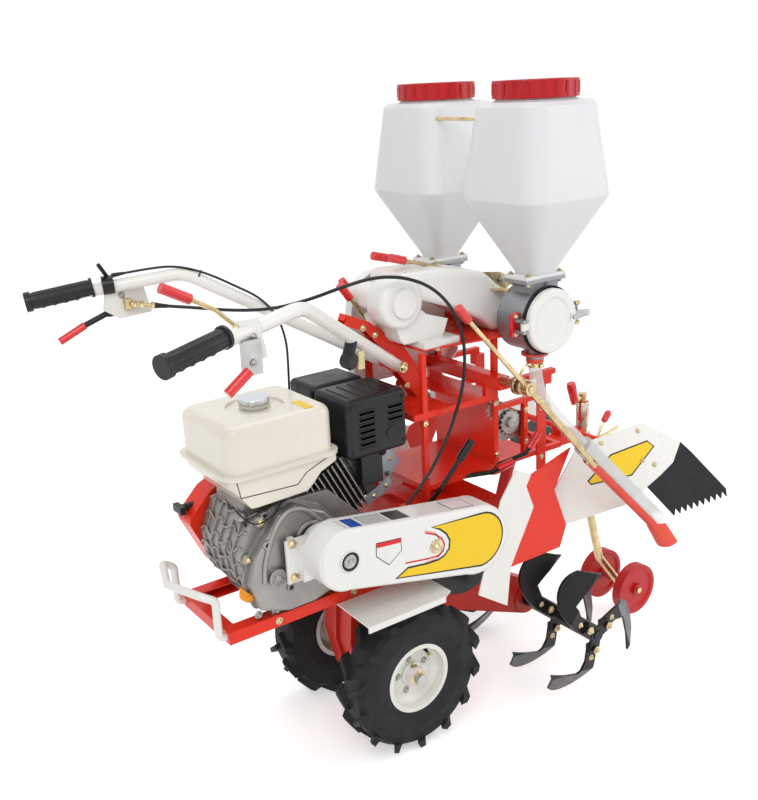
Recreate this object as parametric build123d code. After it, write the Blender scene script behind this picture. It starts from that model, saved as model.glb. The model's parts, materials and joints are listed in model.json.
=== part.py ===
from build123d import *
import os
from collections import namedtuple
from math import asin, atan2, cos, degrees, hypot, pi, radians, sin, tan

os.makedirs("parts", exist_ok=True)

# Walk-behind power tiller with two seed hoppers, in millimetres.
# Machine frame: origin in the middle of the wheel axle, +X toward the tines, +Y to the operator's left, +Z up.
# The handles lie at -X, so the right-hand side of the machine is -Y.
SIDES = (("right", -1), ("left", 1))

# Clearances and the overrun of every cut
OVERRUN = 5
SOFT_GAP = 0.3
RUNNING_GAP = 6
PIN_GAP = 0.05
BAR_GAP = 0.5

# Wheels and their axle
WHEEL_RADIUS = 169
TYRE_WIDTH = 88
RIM_RADIUS = 79
HALF_TRACK = 145
AXLE_RADIUS = 15
HUB_RADIUS = 21
HUB_REACH = 30
STUB_RADIUS = 12
STUB_LONG = 14
LUGS_PER_ROW = 14

# Tine rotor
ROTOR_X = 465
ROTOR_Z = -35
ROTOR_RADIUS = 168
ROTOR_SHAFT = 12
ROTOR_TUBE = 20
BLADE_THICK = 6
BLADES_PER_STATION = 3

# Frames, deck and handles
SHEET = 3
RAIL_TOP = 232
RAIL_HIGH = 26
RAIL_WIDE = 30
RAIL_OUTER = 108
RAIL_FRONT = -400
RAIL_BACK = 140
POST = 12
POST_FRONT_X = 92
POST_BACK_X = 290
POST_END_X = 380
FRAME_HALF = 104
LOWER_RAIL_Z = 386
TRAY_Z = 564
DECK_TOP = 696
DECK_THICK = 4
TUBE_RADIUS = 13

# Engine
CRANK_X = -190
CRANK_Z = 362
ENGINE_HALF = 86
COVER_THICK = 30
TANK_X = -247
TANK_SEAM = 540
TANK_TOP = 636
WALL = 2.5

# Seeder
HOPPER_X = 360
HOPPER_Y = 159
HOPPER_BASE = 823
HOPPER_WALL = 4
DRUM_RADIUS = 72
DRUM_HALF = 42
DRUM_Z = 734

# Depth wheels
GAUGE_X = 830
GAUGE_Z = -123
GAUGE_RADIUS = 70
GAUGE_HALF = 60
MAST_X = 682

# Two stations are staggered so that the tiller rests on a heel of each and on its wheels
STAND_STAGGER = 28
HEEL_TURN = 40
HEEL_DEPTH = ROTOR_RADIUS * cos(radians(STAND_STAGGER / 2))
ROTOR_REACH = hypot(ROTOR_X, ROTOR_Z)
ROTOR_DROP = atan2(-ROTOR_Z, ROTOR_X)
PARK_TILT = degrees(asin((HEEL_DEPTH - WHEEL_RADIUS) / ROTOR_REACH) + ROTOR_DROP)
PARK = Rot(0, -PARK_TILT, 0)

pieces = {}


# Shapes used throughout
def block(x_ends, y_ends, z_ends):
    (x_low, x_high), (y_low, y_high), (z_low, z_high) = sorted(x_ends), sorted(y_ends), sorted(z_ends)
    body = Box(x_high - x_low, y_high - y_low, z_high - z_low, align=(Align.MIN, Align.MIN, Align.MIN))
    return Pos(x_low, y_low, z_low) * body


def rod(start, end, radius):
    first, last = Vector(*start), Vector(*end)
    face = Plane(origin=first, z_dir=last - first) * Circle(radius)
    return extrude(face, (last - first).length)


def disc_y(x, z, radius, y_ends):
    low, high = sorted(y_ends)
    return rod((x, low, z), (x, high, z), radius)


def disc_z(x, y, radius, z_ends):
    low, high = sorted(z_ends)
    return rod((x, y, low), (x, y, high), radius)


def side_face(outline, y):
    return make_face(Polyline(*[(x, y, z) for x, z in outline], close=True))


def side_plate(outline, y_ends):
    low, high = sorted(y_ends)
    return extrude(side_face(outline, low), high - low, dir=(0, 1, 0))


def spread(shares, x_ends, z_ends):
    (x_low, x_high), (z_low, z_high) = x_ends, z_ends
    return [(x_low + (x_high - x_low) * a, z_low + (z_high - z_low) * b) for a, b in shares]


def round_y(body, radius):
    return fillet(body.edges().filter_by(Axis.Y), radius)


def bent_rod(points, radius, bends):
    path = FilletPolyline(*points, radius=bends)
    return sweep(Plane(origin=path @ 0, z_dir=path % 0) * Circle(radius), path=path)


def mirrored(side, point):
    return (point[0], side * point[1], point[2])


def ring_x(profile):
    return revolve(make_face(Polyline(*[(r, y, 0) for r, y in profile], close=True)), Axis.Y)


def main_solid(piece):
    return piece.solids().sort_by(SortBy.VOLUME)[-1]


# Wheels
def tyre():
    bead_radius = RIM_RADIUS - 6
    bead_half = 30
    bulge_radius = 112
    shoulder_radius = 148
    shoulder_half = 38
    tread_radius = 157
    tread_half = 26
    lug_inner = 4
    lug_wide = 22
    lug_lead = 30
    lug_taper = 9
    lug_foot = shoulder_radius - OVERRUN
    half = TYRE_WIDTH / 2
    half_profile = [(bead_radius, bead_half), (bulge_radius, half - SHEET), (shoulder_radius, shoulder_half),
                    (tread_radius, tread_half)]
    body = ring_x(half_profile + [(r, -y) for r, y in reversed(half_profile)])
    foot = Plane(origin=(lug_foot, 0, 0), x_dir=(0, 1, 0), z_dir=(1, 0, 0))
    plan = Polyline((lug_inner, 0), (half, lug_lead), (half, lug_lead + lug_wide), (lug_inner, lug_wide), close=True)
    lug = extrude(foot * make_face(plan), WHEEL_RADIUS - lug_foot + OVERRUN, taper=lug_taper)
    pitch = 360 / LUGS_PER_ROW
    lugs = []
    for index in range(LUGS_PER_ROW):
        lugs.append(Rot(0, index * pitch, 0) * lug)
        lugs.append(Rot(0, (index + 1 / 2) * pitch, 0) * mirror(lug, Plane.XZ))
    return (body + lugs) & disc_y(0, 0, WHEEL_RADIUS, (-half, half))


def wheel_rim():
    flange_half = 33
    flange_thick = 3
    bead_radius = RIM_RADIUS - 6
    barrel_radius = bead_radius - 4
    dish_radius = 54
    dish_at = 5
    rise_at = 14
    barrel = ring_x([(barrel_radius, flange_half), (RIM_RADIUS, flange_half),
                     (RIM_RADIUS, flange_half - flange_thick), (bead_radius, flange_half - flange_thick),
                     (bead_radius, -flange_half + flange_thick), (RIM_RADIUS, -flange_half + flange_thick),
                     (RIM_RADIUS, -flange_half), (barrel_radius, -flange_half)])
    joint = (barrel_radius + bead_radius) / 2
    disc = ring_x([(HUB_RADIUS, dish_at), (dish_radius, dish_at), (joint, rise_at), (joint, rise_at - SHEET),
                   (dish_radius + SHEET, dish_at - SHEET), (HUB_RADIUS, dish_at - SHEET)])
    plate = disc_y(0, 0, HUB_RADIUS * 2, (dish_at - SHEET, dish_at - SHEET * 3))
    hub = disc_y(0, 0, HUB_RADIUS, (-HUB_REACH, HUB_REACH))
    wheel = barrel + disc + plate + hub
    return wheel - disc_y(0, 0, AXLE_RADIUS + PIN_GAP, (-HUB_REACH - OVERRUN, HUB_REACH + OVERRUN))


def build_wheels():
    rim, ring = wheel_rim(), tyre()
    ring -= rim
    axle_end = HALF_TRACK + HUB_REACH
    stub_end = axle_end + STUB_LONG
    for name, side in SIDES:
        place = Pos(0, side * HALF_TRACK, 0)
        if side < 0:
            place = place * Rot(0, 0, 180)
        pieces[f"{name}_wheel_rim"] = place * rim
        pieces[f"{name}_tyre"] = place * ring
    axle = disc_y(0, 0, AXLE_RADIUS, (-axle_end, axle_end))
    pieces["wheel_axle"] = axle + disc_y(0, 0, STUB_RADIUS, (-stub_end, stub_end))


# Transmission: case between the wheels, axle tubes and the chain arm that carries the tine rotor
CASE_HALF = 52
ARM_HALF = 24
CASE_TOP = 330


def build_transmission():
    case_front = -90
    case_back = 170
    case_bottom = -48
    corner = 16
    rib_wide = 8
    rib_half = 5
    tube_radius = 30
    collar_radius = 42
    collar_long = 14
    tube_end = HALF_TRACK - HUB_REACH - RUNNING_GAP
    shares = ((0, 0.28), (0.1, 0), (0.62, 0), (1, 0.42), (1, 1), (0.3, 1), (0.25, 0.66), (0.04, 0.62))
    outline = spread(shares, (case_front, case_back), (case_bottom, CASE_TOP))
    case = round_y(side_plate(outline, (-CASE_HALF, CASE_HALF)), corner)
    seam = offset(side_face(outline, -rib_half), rib_wide)
    case += extrude(seam, rib_half * 2, dir=(0, 1, 0)) & block((case_front - rib_wide, case_back + rib_wide),
                                                               (-rib_half, rib_half), (case_bottom - rib_wide, CASE_TOP))
    case += disc_y(0, 0, tube_radius, (-tube_end, tube_end))
    for side in (-1, 1):
        case += disc_y(0, 0, collar_radius, (side * CASE_HALF, side * (CASE_HALF + collar_long)))
    pieces["gearbox_case"] = case - disc_y(0, 0, AXLE_RADIUS, (-HALF_TRACK, HALF_TRACK))
    arm_root_x = 120
    arm_root = (60, 210)
    drum = 42
    lead = 12
    arm = side_plate([(arm_root_x, arm_root[0]), (ROTOR_X - lead, ROTOR_Z - drum), (ROTOR_X + lead, ROTOR_Z + drum),
                      (arm_root_x, arm_root[1])], (-ARM_HALF, ARM_HALF))
    arm += disc_y(ROTOR_X, ROTOR_Z, drum, (-ARM_HALF - SHEET, ARM_HALF + SHEET))
    arm -= disc_y(ROTOR_X, ROTOR_Z, ROTOR_SHAFT + PIN_GAP, (-ARM_HALF * 2, ARM_HALF * 2))
    pieces["rotor_arm"] = arm - pieces["gearbox_case"]


# Tine rotor: a through shaft with square lugs, and sickle-shaped blades bent sideways
Station = namedtuple("Station", "place bend turn")
LOWEST = 90 + PARK_TILT
STATIONS = (
    Station(-250, 1, LOWEST + 6),
    Station(-122, 1, LOWEST + 6),
    Station(122, 1, LOWEST - HEEL_TURN + STAND_STAGGER / 2),
    Station(250, -1, LOWEST - HEEL_TURN - STAND_STAGGER / 2),
)
LUG_REACH = 46
LUG_HALF = 15
LUG_THICK = 8


def blade():
    root = ROTOR_TUBE + OVERRUN
    half_wide = 16
    bend_start = 92
    sweep_out = 50
    half = BLADE_THICK / 2
    heel_turn = radians(HEEL_TURN)
    outer_turn = heel_turn / 2
    tip_turn = heel_turn * 1.45
    outer_share = 0.93
    tip_share = 0.9
    inner_share = 0.72
    throat_share = 0.6
    shank_share = 0.42
    heel = (ROTOR_RADIUS * cos(heel_turn), -ROTOR_RADIUS * sin(heel_turn))
    outer = (ROTOR_RADIUS * outer_share * cos(outer_turn), -ROTOR_RADIUS * outer_share * sin(outer_turn))
    tip = (ROTOR_RADIUS * tip_share * cos(tip_turn), -ROTOR_RADIUS * tip_share * sin(tip_turn))
    inner = (ROTOR_RADIUS * inner_share * cos(heel_turn), -ROTOR_RADIUS * inner_share * sin(heel_turn))
    throat = (ROTOR_RADIUS * throat_share, -half_wide * 2)
    shank = (ROTOR_RADIUS * shank_share, half_wide)
    # Seen along the shaft: a sickle whose heel runs on the rotor's circle
    back = Polyline((root, -half_wide), (root, half_wide), shank)
    heel_arc = ThreePointArc(shank, outer, heel)
    edge = Polyline(heel, tip)
    throat_arc = ThreePointArc(tip, inner, throat)
    close = Polyline(throat, (shank[0], -half_wide), (root, -half_wide))
    sickle = Plane.XZ * make_face([back, heel_arc, edge, throat_arc, close])
    side_view = extrude(sickle, sweep_out * 2, both=True)
    # Seen from the front: straight out and then bent toward the side
    reach = ROTOR_RADIUS + OVERRUN
    stick = Polyline((root, -half), (bend_start, -half), (reach, sweep_out - half), (reach, sweep_out + half),
                     (bend_start, half), (root, half), close=True)
    end_view = extrude(make_face(stick), ROTOR_RADIUS, both=True)
    return side_view & end_view


def build_rotor():
    end = max(abs(station.place) for station in STATIONS) + LUG_THICK * 2
    bolt = 6
    bolt_at = 37
    half = BLADE_THICK / 2
    arm_gap = 1
    shaft = disc_y(0, 0, ROTOR_SHAFT, (-end, end))
    for side in (-1, 1):
        shaft += disc_y(0, 0, ROTOR_TUBE, (side * (ARM_HALF + SHEET + arm_gap), side * (end - SHEET)))
    shape = blade()
    blades = []
    for station in STATIONS:
        outward = 1 if station.place > 0 else -1
        form = shape if station.bend > 0 else mirror(shape, Plane.XZ)
        for index in range(BLADES_PER_STATION):
            turn = Rot(0, station.turn + index * 360 / BLADES_PER_STATION, 0)
            lug = block((ROTOR_SHAFT, LUG_REACH), (outward * half, outward * (half + LUG_THICK)), (-LUG_HALF, LUG_HALF))
            lug += disc_y(bolt_at, 0, bolt, (-half - bolt, half + bolt))
            lug += disc_y(bolt_at, 0, bolt, (outward * half, outward * (half + LUG_THICK + bolt)))
            shaft += turn * Pos(0, station.place, 0) * lug
            blades.append(turn * Pos(0, station.place, 0) * form)
    place = Pos(ROTOR_X, 0, ROTOR_Z)
    pieces["rotor_shaft"] = place * shaft
    pieces["rotor_blades"] = place * Compound([each - shaft for each in blades])


# Main frame: two channel rails under the engine, joined to the case
def build_frame():
    cross_long = 24
    rails = []
    for side in (-1, 1):
        outer, inner = side * RAIL_OUTER, side * (RAIL_OUTER - RAIL_WIDE)
        rail = block((RAIL_FRONT, RAIL_BACK), (outer, inner), (RAIL_TOP - RAIL_HIGH, RAIL_TOP))
        rail -= block((RAIL_FRONT - OVERRUN, RAIL_BACK + OVERRUN), (outer - side * SHEET, inner - side * OVERRUN),
                      (RAIL_TOP - RAIL_HIGH + SHEET, RAIL_TOP - SHEET))
        rails.append(rail)
    frame = rails[0] + rails[1]
    for x in (RAIL_FRONT, -CASE_HALF, RAIL_BACK - cross_long):
        frame += block((x, x + cross_long), (-RAIL_OUTER + SHEET, RAIL_OUTER - SHEET), (RAIL_TOP - RAIL_HIGH, RAIL_TOP))
    pieces["main_frame"] = frame - pieces["gearbox_case"]


# Box frame above the gear case: welded bars, a slotted tray, a chute, a panel and a cross tube
CROSS_X = 266
CROSS_TUBE = 28
CROSS_Z = 586
CROSS_END = 150


def build_box_frame():
    gap = POST / 2
    half = FRAME_HALF - POST
    panel_front_x = 225
    end_plate_x = 418
    end_plate_wide = 28
    end_low_z = 350
    foot_z = CASE_TOP
    tray_lip = 14
    slot = (18, 90)
    lower_end_x = 500
    bars = []
    for side in (-1, 1):
        row = (side * half, side * FRAME_HALF)
        bars.append(block((POST_FRONT_X, POST_FRONT_X + POST), row, (foot_z, DECK_TOP - DECK_THICK)))
        bars.append(block((POST_BACK_X, POST_BACK_X + POST), row, (LOWER_RAIL_Z, DECK_TOP - DECK_THICK)))
        bars.append(block((POST_END_X, POST_END_X + POST), row, (LOWER_RAIL_Z, TRAY_Z - tray_lip * 3)))
        bars.append(block((POST_FRONT_X, lower_end_x), row, (LOWER_RAIL_Z, LOWER_RAIL_Z + POST)))
        bars.append(block((POST_BACK_X, end_plate_x + POST), row, (TRAY_Z - tray_lip * 3, TRAY_Z - tray_lip * 3 + POST)))
        bars.append(block((end_plate_x, end_plate_x + end_plate_wide), (side * FRAME_HALF, side * (FRAME_HALF + SHEET)),
                          (end_low_z, TRAY_Z)))
        bars.append(block((CROSS_X + CROSS_TUBE, end_plate_x + end_plate_wide),
                          (side * (CROSS_END - CROSS_TUBE), side * (CROSS_END - CROSS_TUBE + SHEET * 5)),
                          (CROSS_Z, CROSS_Z + POST)))
        bars.append(block((end_plate_x, end_plate_x + end_plate_wide),
                          (side * FRAME_HALF, side * (CROSS_END - CROSS_TUBE + SHEET)),
                          (TRAY_Z - SHEET, CROSS_Z)))
    for x in (POST_FRONT_X, POST_BACK_X, lower_end_x - POST):
        bars.append(block((x, x + POST), (-FRAME_HALF, FRAME_HALF), (LOWER_RAIL_Z, LOWER_RAIL_Z + POST)))
    # Tray with a turned-down lip and a long slot
    tray_front = POST_FRONT_X - POST * 2
    tray = block((tray_front, POST_BACK_X + POST), (-FRAME_HALF, FRAME_HALF), (TRAY_Z - tray_lip, TRAY_Z))
    tray -= block((tray_front + SHEET, POST_BACK_X + POST - SHEET), (-FRAME_HALF + SHEET, FRAME_HALF - SHEET),
                  (TRAY_Z - tray_lip - OVERRUN, TRAY_Z - SHEET))
    middle = (POST_FRONT_X + POST_BACK_X) / 2
    tray -= block((middle - slot[0], middle + slot[0]), (-slot[1], slot[1] - POST), (TRAY_Z - tray_lip, TRAY_Z + OVERRUN))
    bars.append(tray)
    # Cross bar with capped ends, that carries the seed tubes' clamps
    cross = block((CROSS_X, CROSS_X + CROSS_TUBE), (-CROSS_END, CROSS_END), (CROSS_Z, CROSS_Z + CROSS_TUBE))
    bars.append(cross)
    for side in (-1, 1):
        bars.append(block((CROSS_X, CROSS_X + CROSS_TUBE), (side * half, side * FRAME_HALF), (TRAY_Z, CROSS_Z)))
    # Panel across the frame, sloped chute at its side, and slotted gate box below
    chute_shares = ((0, 0.93), (0.45, 1), (1, 0.22), (0.53, 0))
    chute = side_plate(spread(chute_shares, (POST_FRONT_X + POST + SHEET, panel_front_x), (448, TRAY_Z - tray_lip)),
                       (-half, -half + SHEET))
    bars.append(chute)
    panel = block((POST_BACK_X, POST_BACK_X + SHEET), (-FRAME_HALF + POST, FRAME_HALF - POST),
                  (LOWER_RAIL_Z + POST, TRAY_Z - tray_lip))
    bars.append(panel)
    floor = block((POST_FRONT_X, end_plate_x), (-FRAME_HALF + POST, FRAME_HALF - POST),
                  (LOWER_RAIL_Z + POST - SHEET, LOWER_RAIL_Z + POST))
    bars.append(floor)
    bars.append(block((POST_FRONT_X, POST_FRONT_X + POST * 4), (-CASE_HALF, CASE_HALF), (foot_z, foot_z + POST)))
    bars.append(block((POST_FRONT_X, POST_FRONT_X + POST), (-FRAME_HALF, FRAME_HALF), (foot_z, foot_z + POST)))
    frame = bars[0]
    for bar in bars[1:]:
        frame += bar
    pieces["box_frame"] = main_solid(frame - pieces["gearbox_case"])
    deck_shares = ((0, 0.16), (0.66, 0.04), (0.74, 0), (1, 0), (1, 1), (0.74, 1), (0.66, 0.96), (0, 0.84))
    deck_front = 106
    deck_back = 402
    deck_half = 128
    corners = [(x, y) for x, y in spread(deck_shares, (deck_front, deck_back), (-deck_half, deck_half))]
    deck_face = make_face(Polyline(*[(x, y, DECK_TOP - DECK_THICK) for x, y in corners], close=True))
    pieces["deck"] = extrude(deck_face, DECK_THICK, dir=(0, 0, 1))


# Engine: crankcase with side cover, inclined finned cylinder, tank, muffler, air cleaner, fan shroud
CYLINDER_LEAN = 28
CYLINDER_X = -200
CYLINDER_Z = 380
FIN_COUNT = 9
FIN_PITCH = 12


def along_cylinder(s, t):
    lean = radians(CYLINDER_LEAN)
    return (CYLINDER_X + s * cos(lean) - t * sin(lean), CYLINDER_Z + s * sin(lean) + t * cos(lean))


def cylinder_block(s_ends, t_ends, y_ends):
    (s_low, s_high), (t_low, t_high) = s_ends, t_ends
    corners = ((s_low, t_low), (s_high, t_low), (s_high, t_high), (s_low, t_high))
    return side_plate([along_cylinder(s, t) for s, t in corners], y_ends)


def build_crankcase():
    base = RAIL_TOP
    case_x = (-352, -36)
    case_top = 458
    corner = 12
    shares = ((0.2, 0), (0.02, 0.34), (0, 0.6), (0.1, 0.9), (0.3, 1), (0.66, 0.98), (0.92, 0.62), (1, 0.3), (0.96, 0))
    case = round_y(side_plate(spread(shares, case_x, (base, case_top)), (-ENGINE_HALF, ENGINE_HALF)), corner)
    hollow = spread(shares, (case_x[0] + WALL * 3, case_x[1] - WALL * 3), (base + WALL * 3, case_top - WALL * 3))
    case -= side_plate(hollow, (-ENGINE_HALF + WALL * 3, ENGINE_HALF - WALL * 3))
    # Side cover on the drive side, its raised rim, the governor boss and the oil filler
    cover_x = (-348, -128)
    cover_z = (236, 456)
    cover_shares = ((0.37, 0), (0.08, 0.1), (0, 0.36), (0.07, 0.6), (0.24, 0.82), (0.34, 0.95), (0.51, 1), (0.8, 0.86),
                    (1, 0.62), (1, 0.28), (0.84, 0.06), (0.64, 0))
    cover = round_y(side_plate(spread(cover_shares, cover_x, cover_z), (-ENGINE_HALF, -ENGINE_HALF - COVER_THICK)), corner)
    front = cover.faces().sort_by(Axis.Y)[0]
    cover = fillet(front.edges(), corner / 2)
    rim = side_plate(spread(cover_shares, (cover_x[0] - SHEET * 2, cover_x[1] + SHEET * 2),
                            (cover_z[0] - SHEET, cover_z[1] + SHEET * 2)), (-ENGINE_HALF, -ENGINE_HALF - SHEET * 2))
    case += cover + round_y(rim, corner)
    cover_face = -ENGINE_HALF - COVER_THICK
    boss = (-292, 321)
    boss_radius = 19
    boss_rise = 8
    case += disc_y(*boss, boss_radius, (cover_face + OVERRUN, cover_face - boss_rise))
    case -= disc_y(*boss, boss_radius - SHEET, (cover_face - boss_rise / 2, cover_face - boss_rise * 2))
    case += disc_y(CRANK_X, CRANK_Z, boss_radius * 2, (cover_face + OVERRUN, cover_face - boss_rise))
    neck_foot, neck_end, neck_radius = (-316, -74, 262), (-338, -84, 284), 13
    case += rod(neck_foot, neck_end, neck_radius)
    feet_x = (-300, -110)
    foot_long = 46
    for x in feet_x:
        case += block((x, x + foot_long), (-ENGINE_HALF - COVER_THICK / 2, ENGINE_HALF), (base, base + POST))
    # Ribs that stand out of the case all the way round
    rib_shares = (0.16, 0.33, 0.5, 0.67, 0.84)
    rib_rise = 4
    outline = spread(shares, case_x, (base, case_top))
    ribs = block((case_x[0] - rib_rise, case_x[1]), (-ENGINE_HALF, ENGINE_HALF), (base, case_top))
    for share in rib_shares:
        y = ENGINE_HALF * (share * 2 - 1)
        case += extrude(offset(side_face(outline, y), rib_rise), SHEET, dir=(0, 1, 0)) & ribs
    case -= side_plate(hollow, (-ENGINE_HALF + WALL * 3, ENGINE_HALF - WALL * 3))
    pieces["engine_crankcase"] = case
    along = (Vector(*neck_end) - Vector(*neck_foot)).normalized()
    cap_end = Vector(*neck_end) + along * POST
    cap = rod(neck_end, tuple(cap_end), neck_radius + SHEET)
    wing = Plane(origin=cap_end, z_dir=along, x_dir=(0, 1, 0)) * Box(neck_radius * 2, SHEET * 2, POST * 1.5)
    pieces["oil_cap"] = (cap + wing) - pieces["engine_crankcase"]


def build_cylinder():
    barrel_low, barrel_high = (-58, 58), 60
    fin_low, fin_high = -66, 68
    fin_half = 78
    fin_thick = 4
    fin_start = 46
    head_long = 30
    fin_end = fin_start + FIN_COUNT * FIN_PITCH
    barrel = cylinder_block((fin_start, fin_end + head_long), barrel_low, (-barrel_high, barrel_high))
    for index in range(FIN_COUNT):
        s = fin_start + index * FIN_PITCH
        barrel += cylinder_block((s, s + fin_thick), (fin_low, fin_high), (-fin_half, fin_half))
    barrel += cylinder_block((fin_end + OVERRUN, fin_end + head_long), (fin_low, fin_high - POST), (-fin_half + POST, fin_half - POST))
    # Air guide along the foot of the cylinder
    guide_shares = ((0, 1), (0.04, 0.94), (0.5, 0.46), (0.96, 0), (1, 0.1), (0.93, 0.2), (0.5, 0.6), (0.06, 1.04))
    guide = side_plate(spread(guide_shares, (-258, -40), (345, 468)), (-fin_half - POST, fin_half))
    cover = cylinder_block((fin_end, fin_end + head_long + POST * 2), (-barrel_high + POST, barrel_high - POST * 2),
                           (-barrel_high + POST, barrel_high - POST))
    body = barrel + guide + cover
    for other in ("engine_crankcase", "gearbox_case", "box_frame"):
        body = body - pieces[other]
    pieces["engine_cylinder"] = main_solid(body)


def build_tank():
    half_x = 128
    half_y = 116
    inset = 9
    corner = 32
    crown = 20
    lip = 5
    low_z = 470
    deep = WALL * 3
    ends_x, ends_y = (TANK_X - half_x, TANK_X + half_x), (-half_y, half_y)
    upper = block((ends_x[0] + inset, ends_x[1] - inset), (ends_y[0] + inset, ends_y[1] - inset), (TANK_SEAM, TANK_TOP))
    upper = fillet(upper.edges().filter_by(Axis.Z), corner)
    upper = fillet(upper.faces().sort_by(Axis.Z)[-1].edges(), crown)
    flange = block(ends_x, ends_y, (TANK_SEAM - lip, TANK_SEAM + lip / 2))
    flange = fillet(flange.edges().filter_by(Axis.Z), corner)
    lower_shares = ((0, 1), (0.05, 0.5), (0.16, 0.02), (0.22, 0), (0.7, 0.04), (0.76, 0.2), (0.84, 0.48), (1, 0.7), (1, 1))
    low_x, low_zs = (ends_x[0] + inset * 1.3, ends_x[1] - inset * 1.3), (low_z, TANK_SEAM)
    lower = side_plate(spread(lower_shares, low_x, low_zs), (ends_y[0] + inset * 1.3, ends_y[1] - inset * 1.3))
    cavity = block((ends_x[0] + inset + deep, ends_x[1] - inset - deep), (ends_y[0] + inset + deep, ends_y[1] - inset - deep),
                   (TANK_SEAM - inset, TANK_TOP - deep))
    cavity = fillet(cavity.edges().filter_by(Axis.Z), corner - deep)
    cavity = fillet(cavity.faces().sort_by(Axis.Z)[-1].edges(), crown - deep / 2)
    sump = side_plate(spread(lower_shares, (low_x[0] + deep, low_x[1] - deep), (low_z + deep, TANK_SEAM)),
                      (ends_y[0] + inset + deep * 2, ends_y[1] - inset - deep * 2))
    dish_radius = 58
    dish_deep = 5
    cap_radius = 31
    cap_high = 17
    neck_radius = 24
    dish = disc_z(TANK_X, 0, dish_radius, (TANK_TOP - dish_deep, TANK_TOP + OVERRUN))
    tank = upper + flange + lower - cavity - sump - dish
    tank += disc_z(TANK_X, 0, neck_radius, (TANK_TOP - deep, TANK_TOP))
    pieces["fuel_tank"] = tank - pieces["engine_cylinder"]
    cap = disc_z(TANK_X, 0, cap_radius, (TANK_TOP, TANK_TOP + cap_high))
    notch = 4
    lobes = 10
    for index in range(lobes):
        turn = radians(index * 360 / lobes)
        cap -= disc_z(TANK_X + (cap_radius + notch / 2) * cos(turn), (cap_radius + notch / 2) * sin(turn), notch,
                      (TANK_TOP - OVERRUN, TANK_TOP + cap_high + OVERRUN))
    pieces["tank_cap"] = fillet(cap.faces().sort_by(Axis.Z)[-1].edges(), SHEET / 2)
    # Brackets that carry the tank on the crankcase
    for x in (TANK_X - inset * 8, TANK_X + inset * 3):
        stand = block((x, x + inset * 2), (-half_y / 2, half_y / 2), (CRANK_Z + inset * 8, low_z + inset))
        pieces["engine_crankcase"] += stand - pieces["fuel_tank"] - pieces["engine_cylinder"]
    pieces["engine_crankcase"] = main_solid(pieces["engine_crankcase"])


def build_muffler():
    ends_x, ends_y, ends_z = (-104, 44), (-112, 14), (507, 634)
    corner = 12
    shell = block(ends_x, ends_y, ends_z)
    shell = fillet(shell.edges(), corner)
    inner = block((ends_x[0] + WALL, ends_x[1] - WALL), (ends_y[0] + WALL, ends_y[1] - WALL), (ends_z[0] + WALL, ends_z[1] - WALL))
    shell -= fillet(inner.edges(), corner - WALL)
    neck_x, neck_y = (-58, -6), (-86, -34)
    neck = block(neck_x, neck_y, (ends_z[0] - POST * 6, ends_z[0] + WALL))
    # Slots of the near face: six long ones and three shorter ones
    slot_high = 5
    long_slots, short_slots = (-74, -38), (-4, 32)
    pitch = 13
    low_slot = 534
    for index in range(6):
        z = low_slot + index * pitch
        shell -= block(long_slots, (ends_y[0] - OVERRUN, ends_y[0] + WALL * 2), (z, z + slot_high))
        if index > 2:
            shell -= block(short_slots, (ends_y[0] - OVERRUN, ends_y[0] + WALL * 2), (z, z + slot_high))
    body = shell + (neck - pieces["engine_cylinder"])
    pieces["muffler"] = body - pieces["fuel_tank"] - pieces["engine_crankcase"] - pieces["engine_cylinder"]
    air = block((ends_x[0] + POST / 2, ends_x[1] - POST), (ends_y[1] + RUNNING_GAP, ends_y[1] + POST * 9), ends_z)
    air = fillet(air.edges(), corner)
    foot = block((ends_x[0] + POST, ends_x[1] - POST * 3), (ends_y[1] + POST * 2, ENGINE_HALF - POST), (ends_z[0] - POST * 3, ends_z[0] + WALL))
    cleaner = air + foot - pieces["engine_cylinder"] - pieces["fuel_tank"] - pieces["muffler"]
    pieces["air_cleaner"] = main_solid(cleaner)


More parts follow.
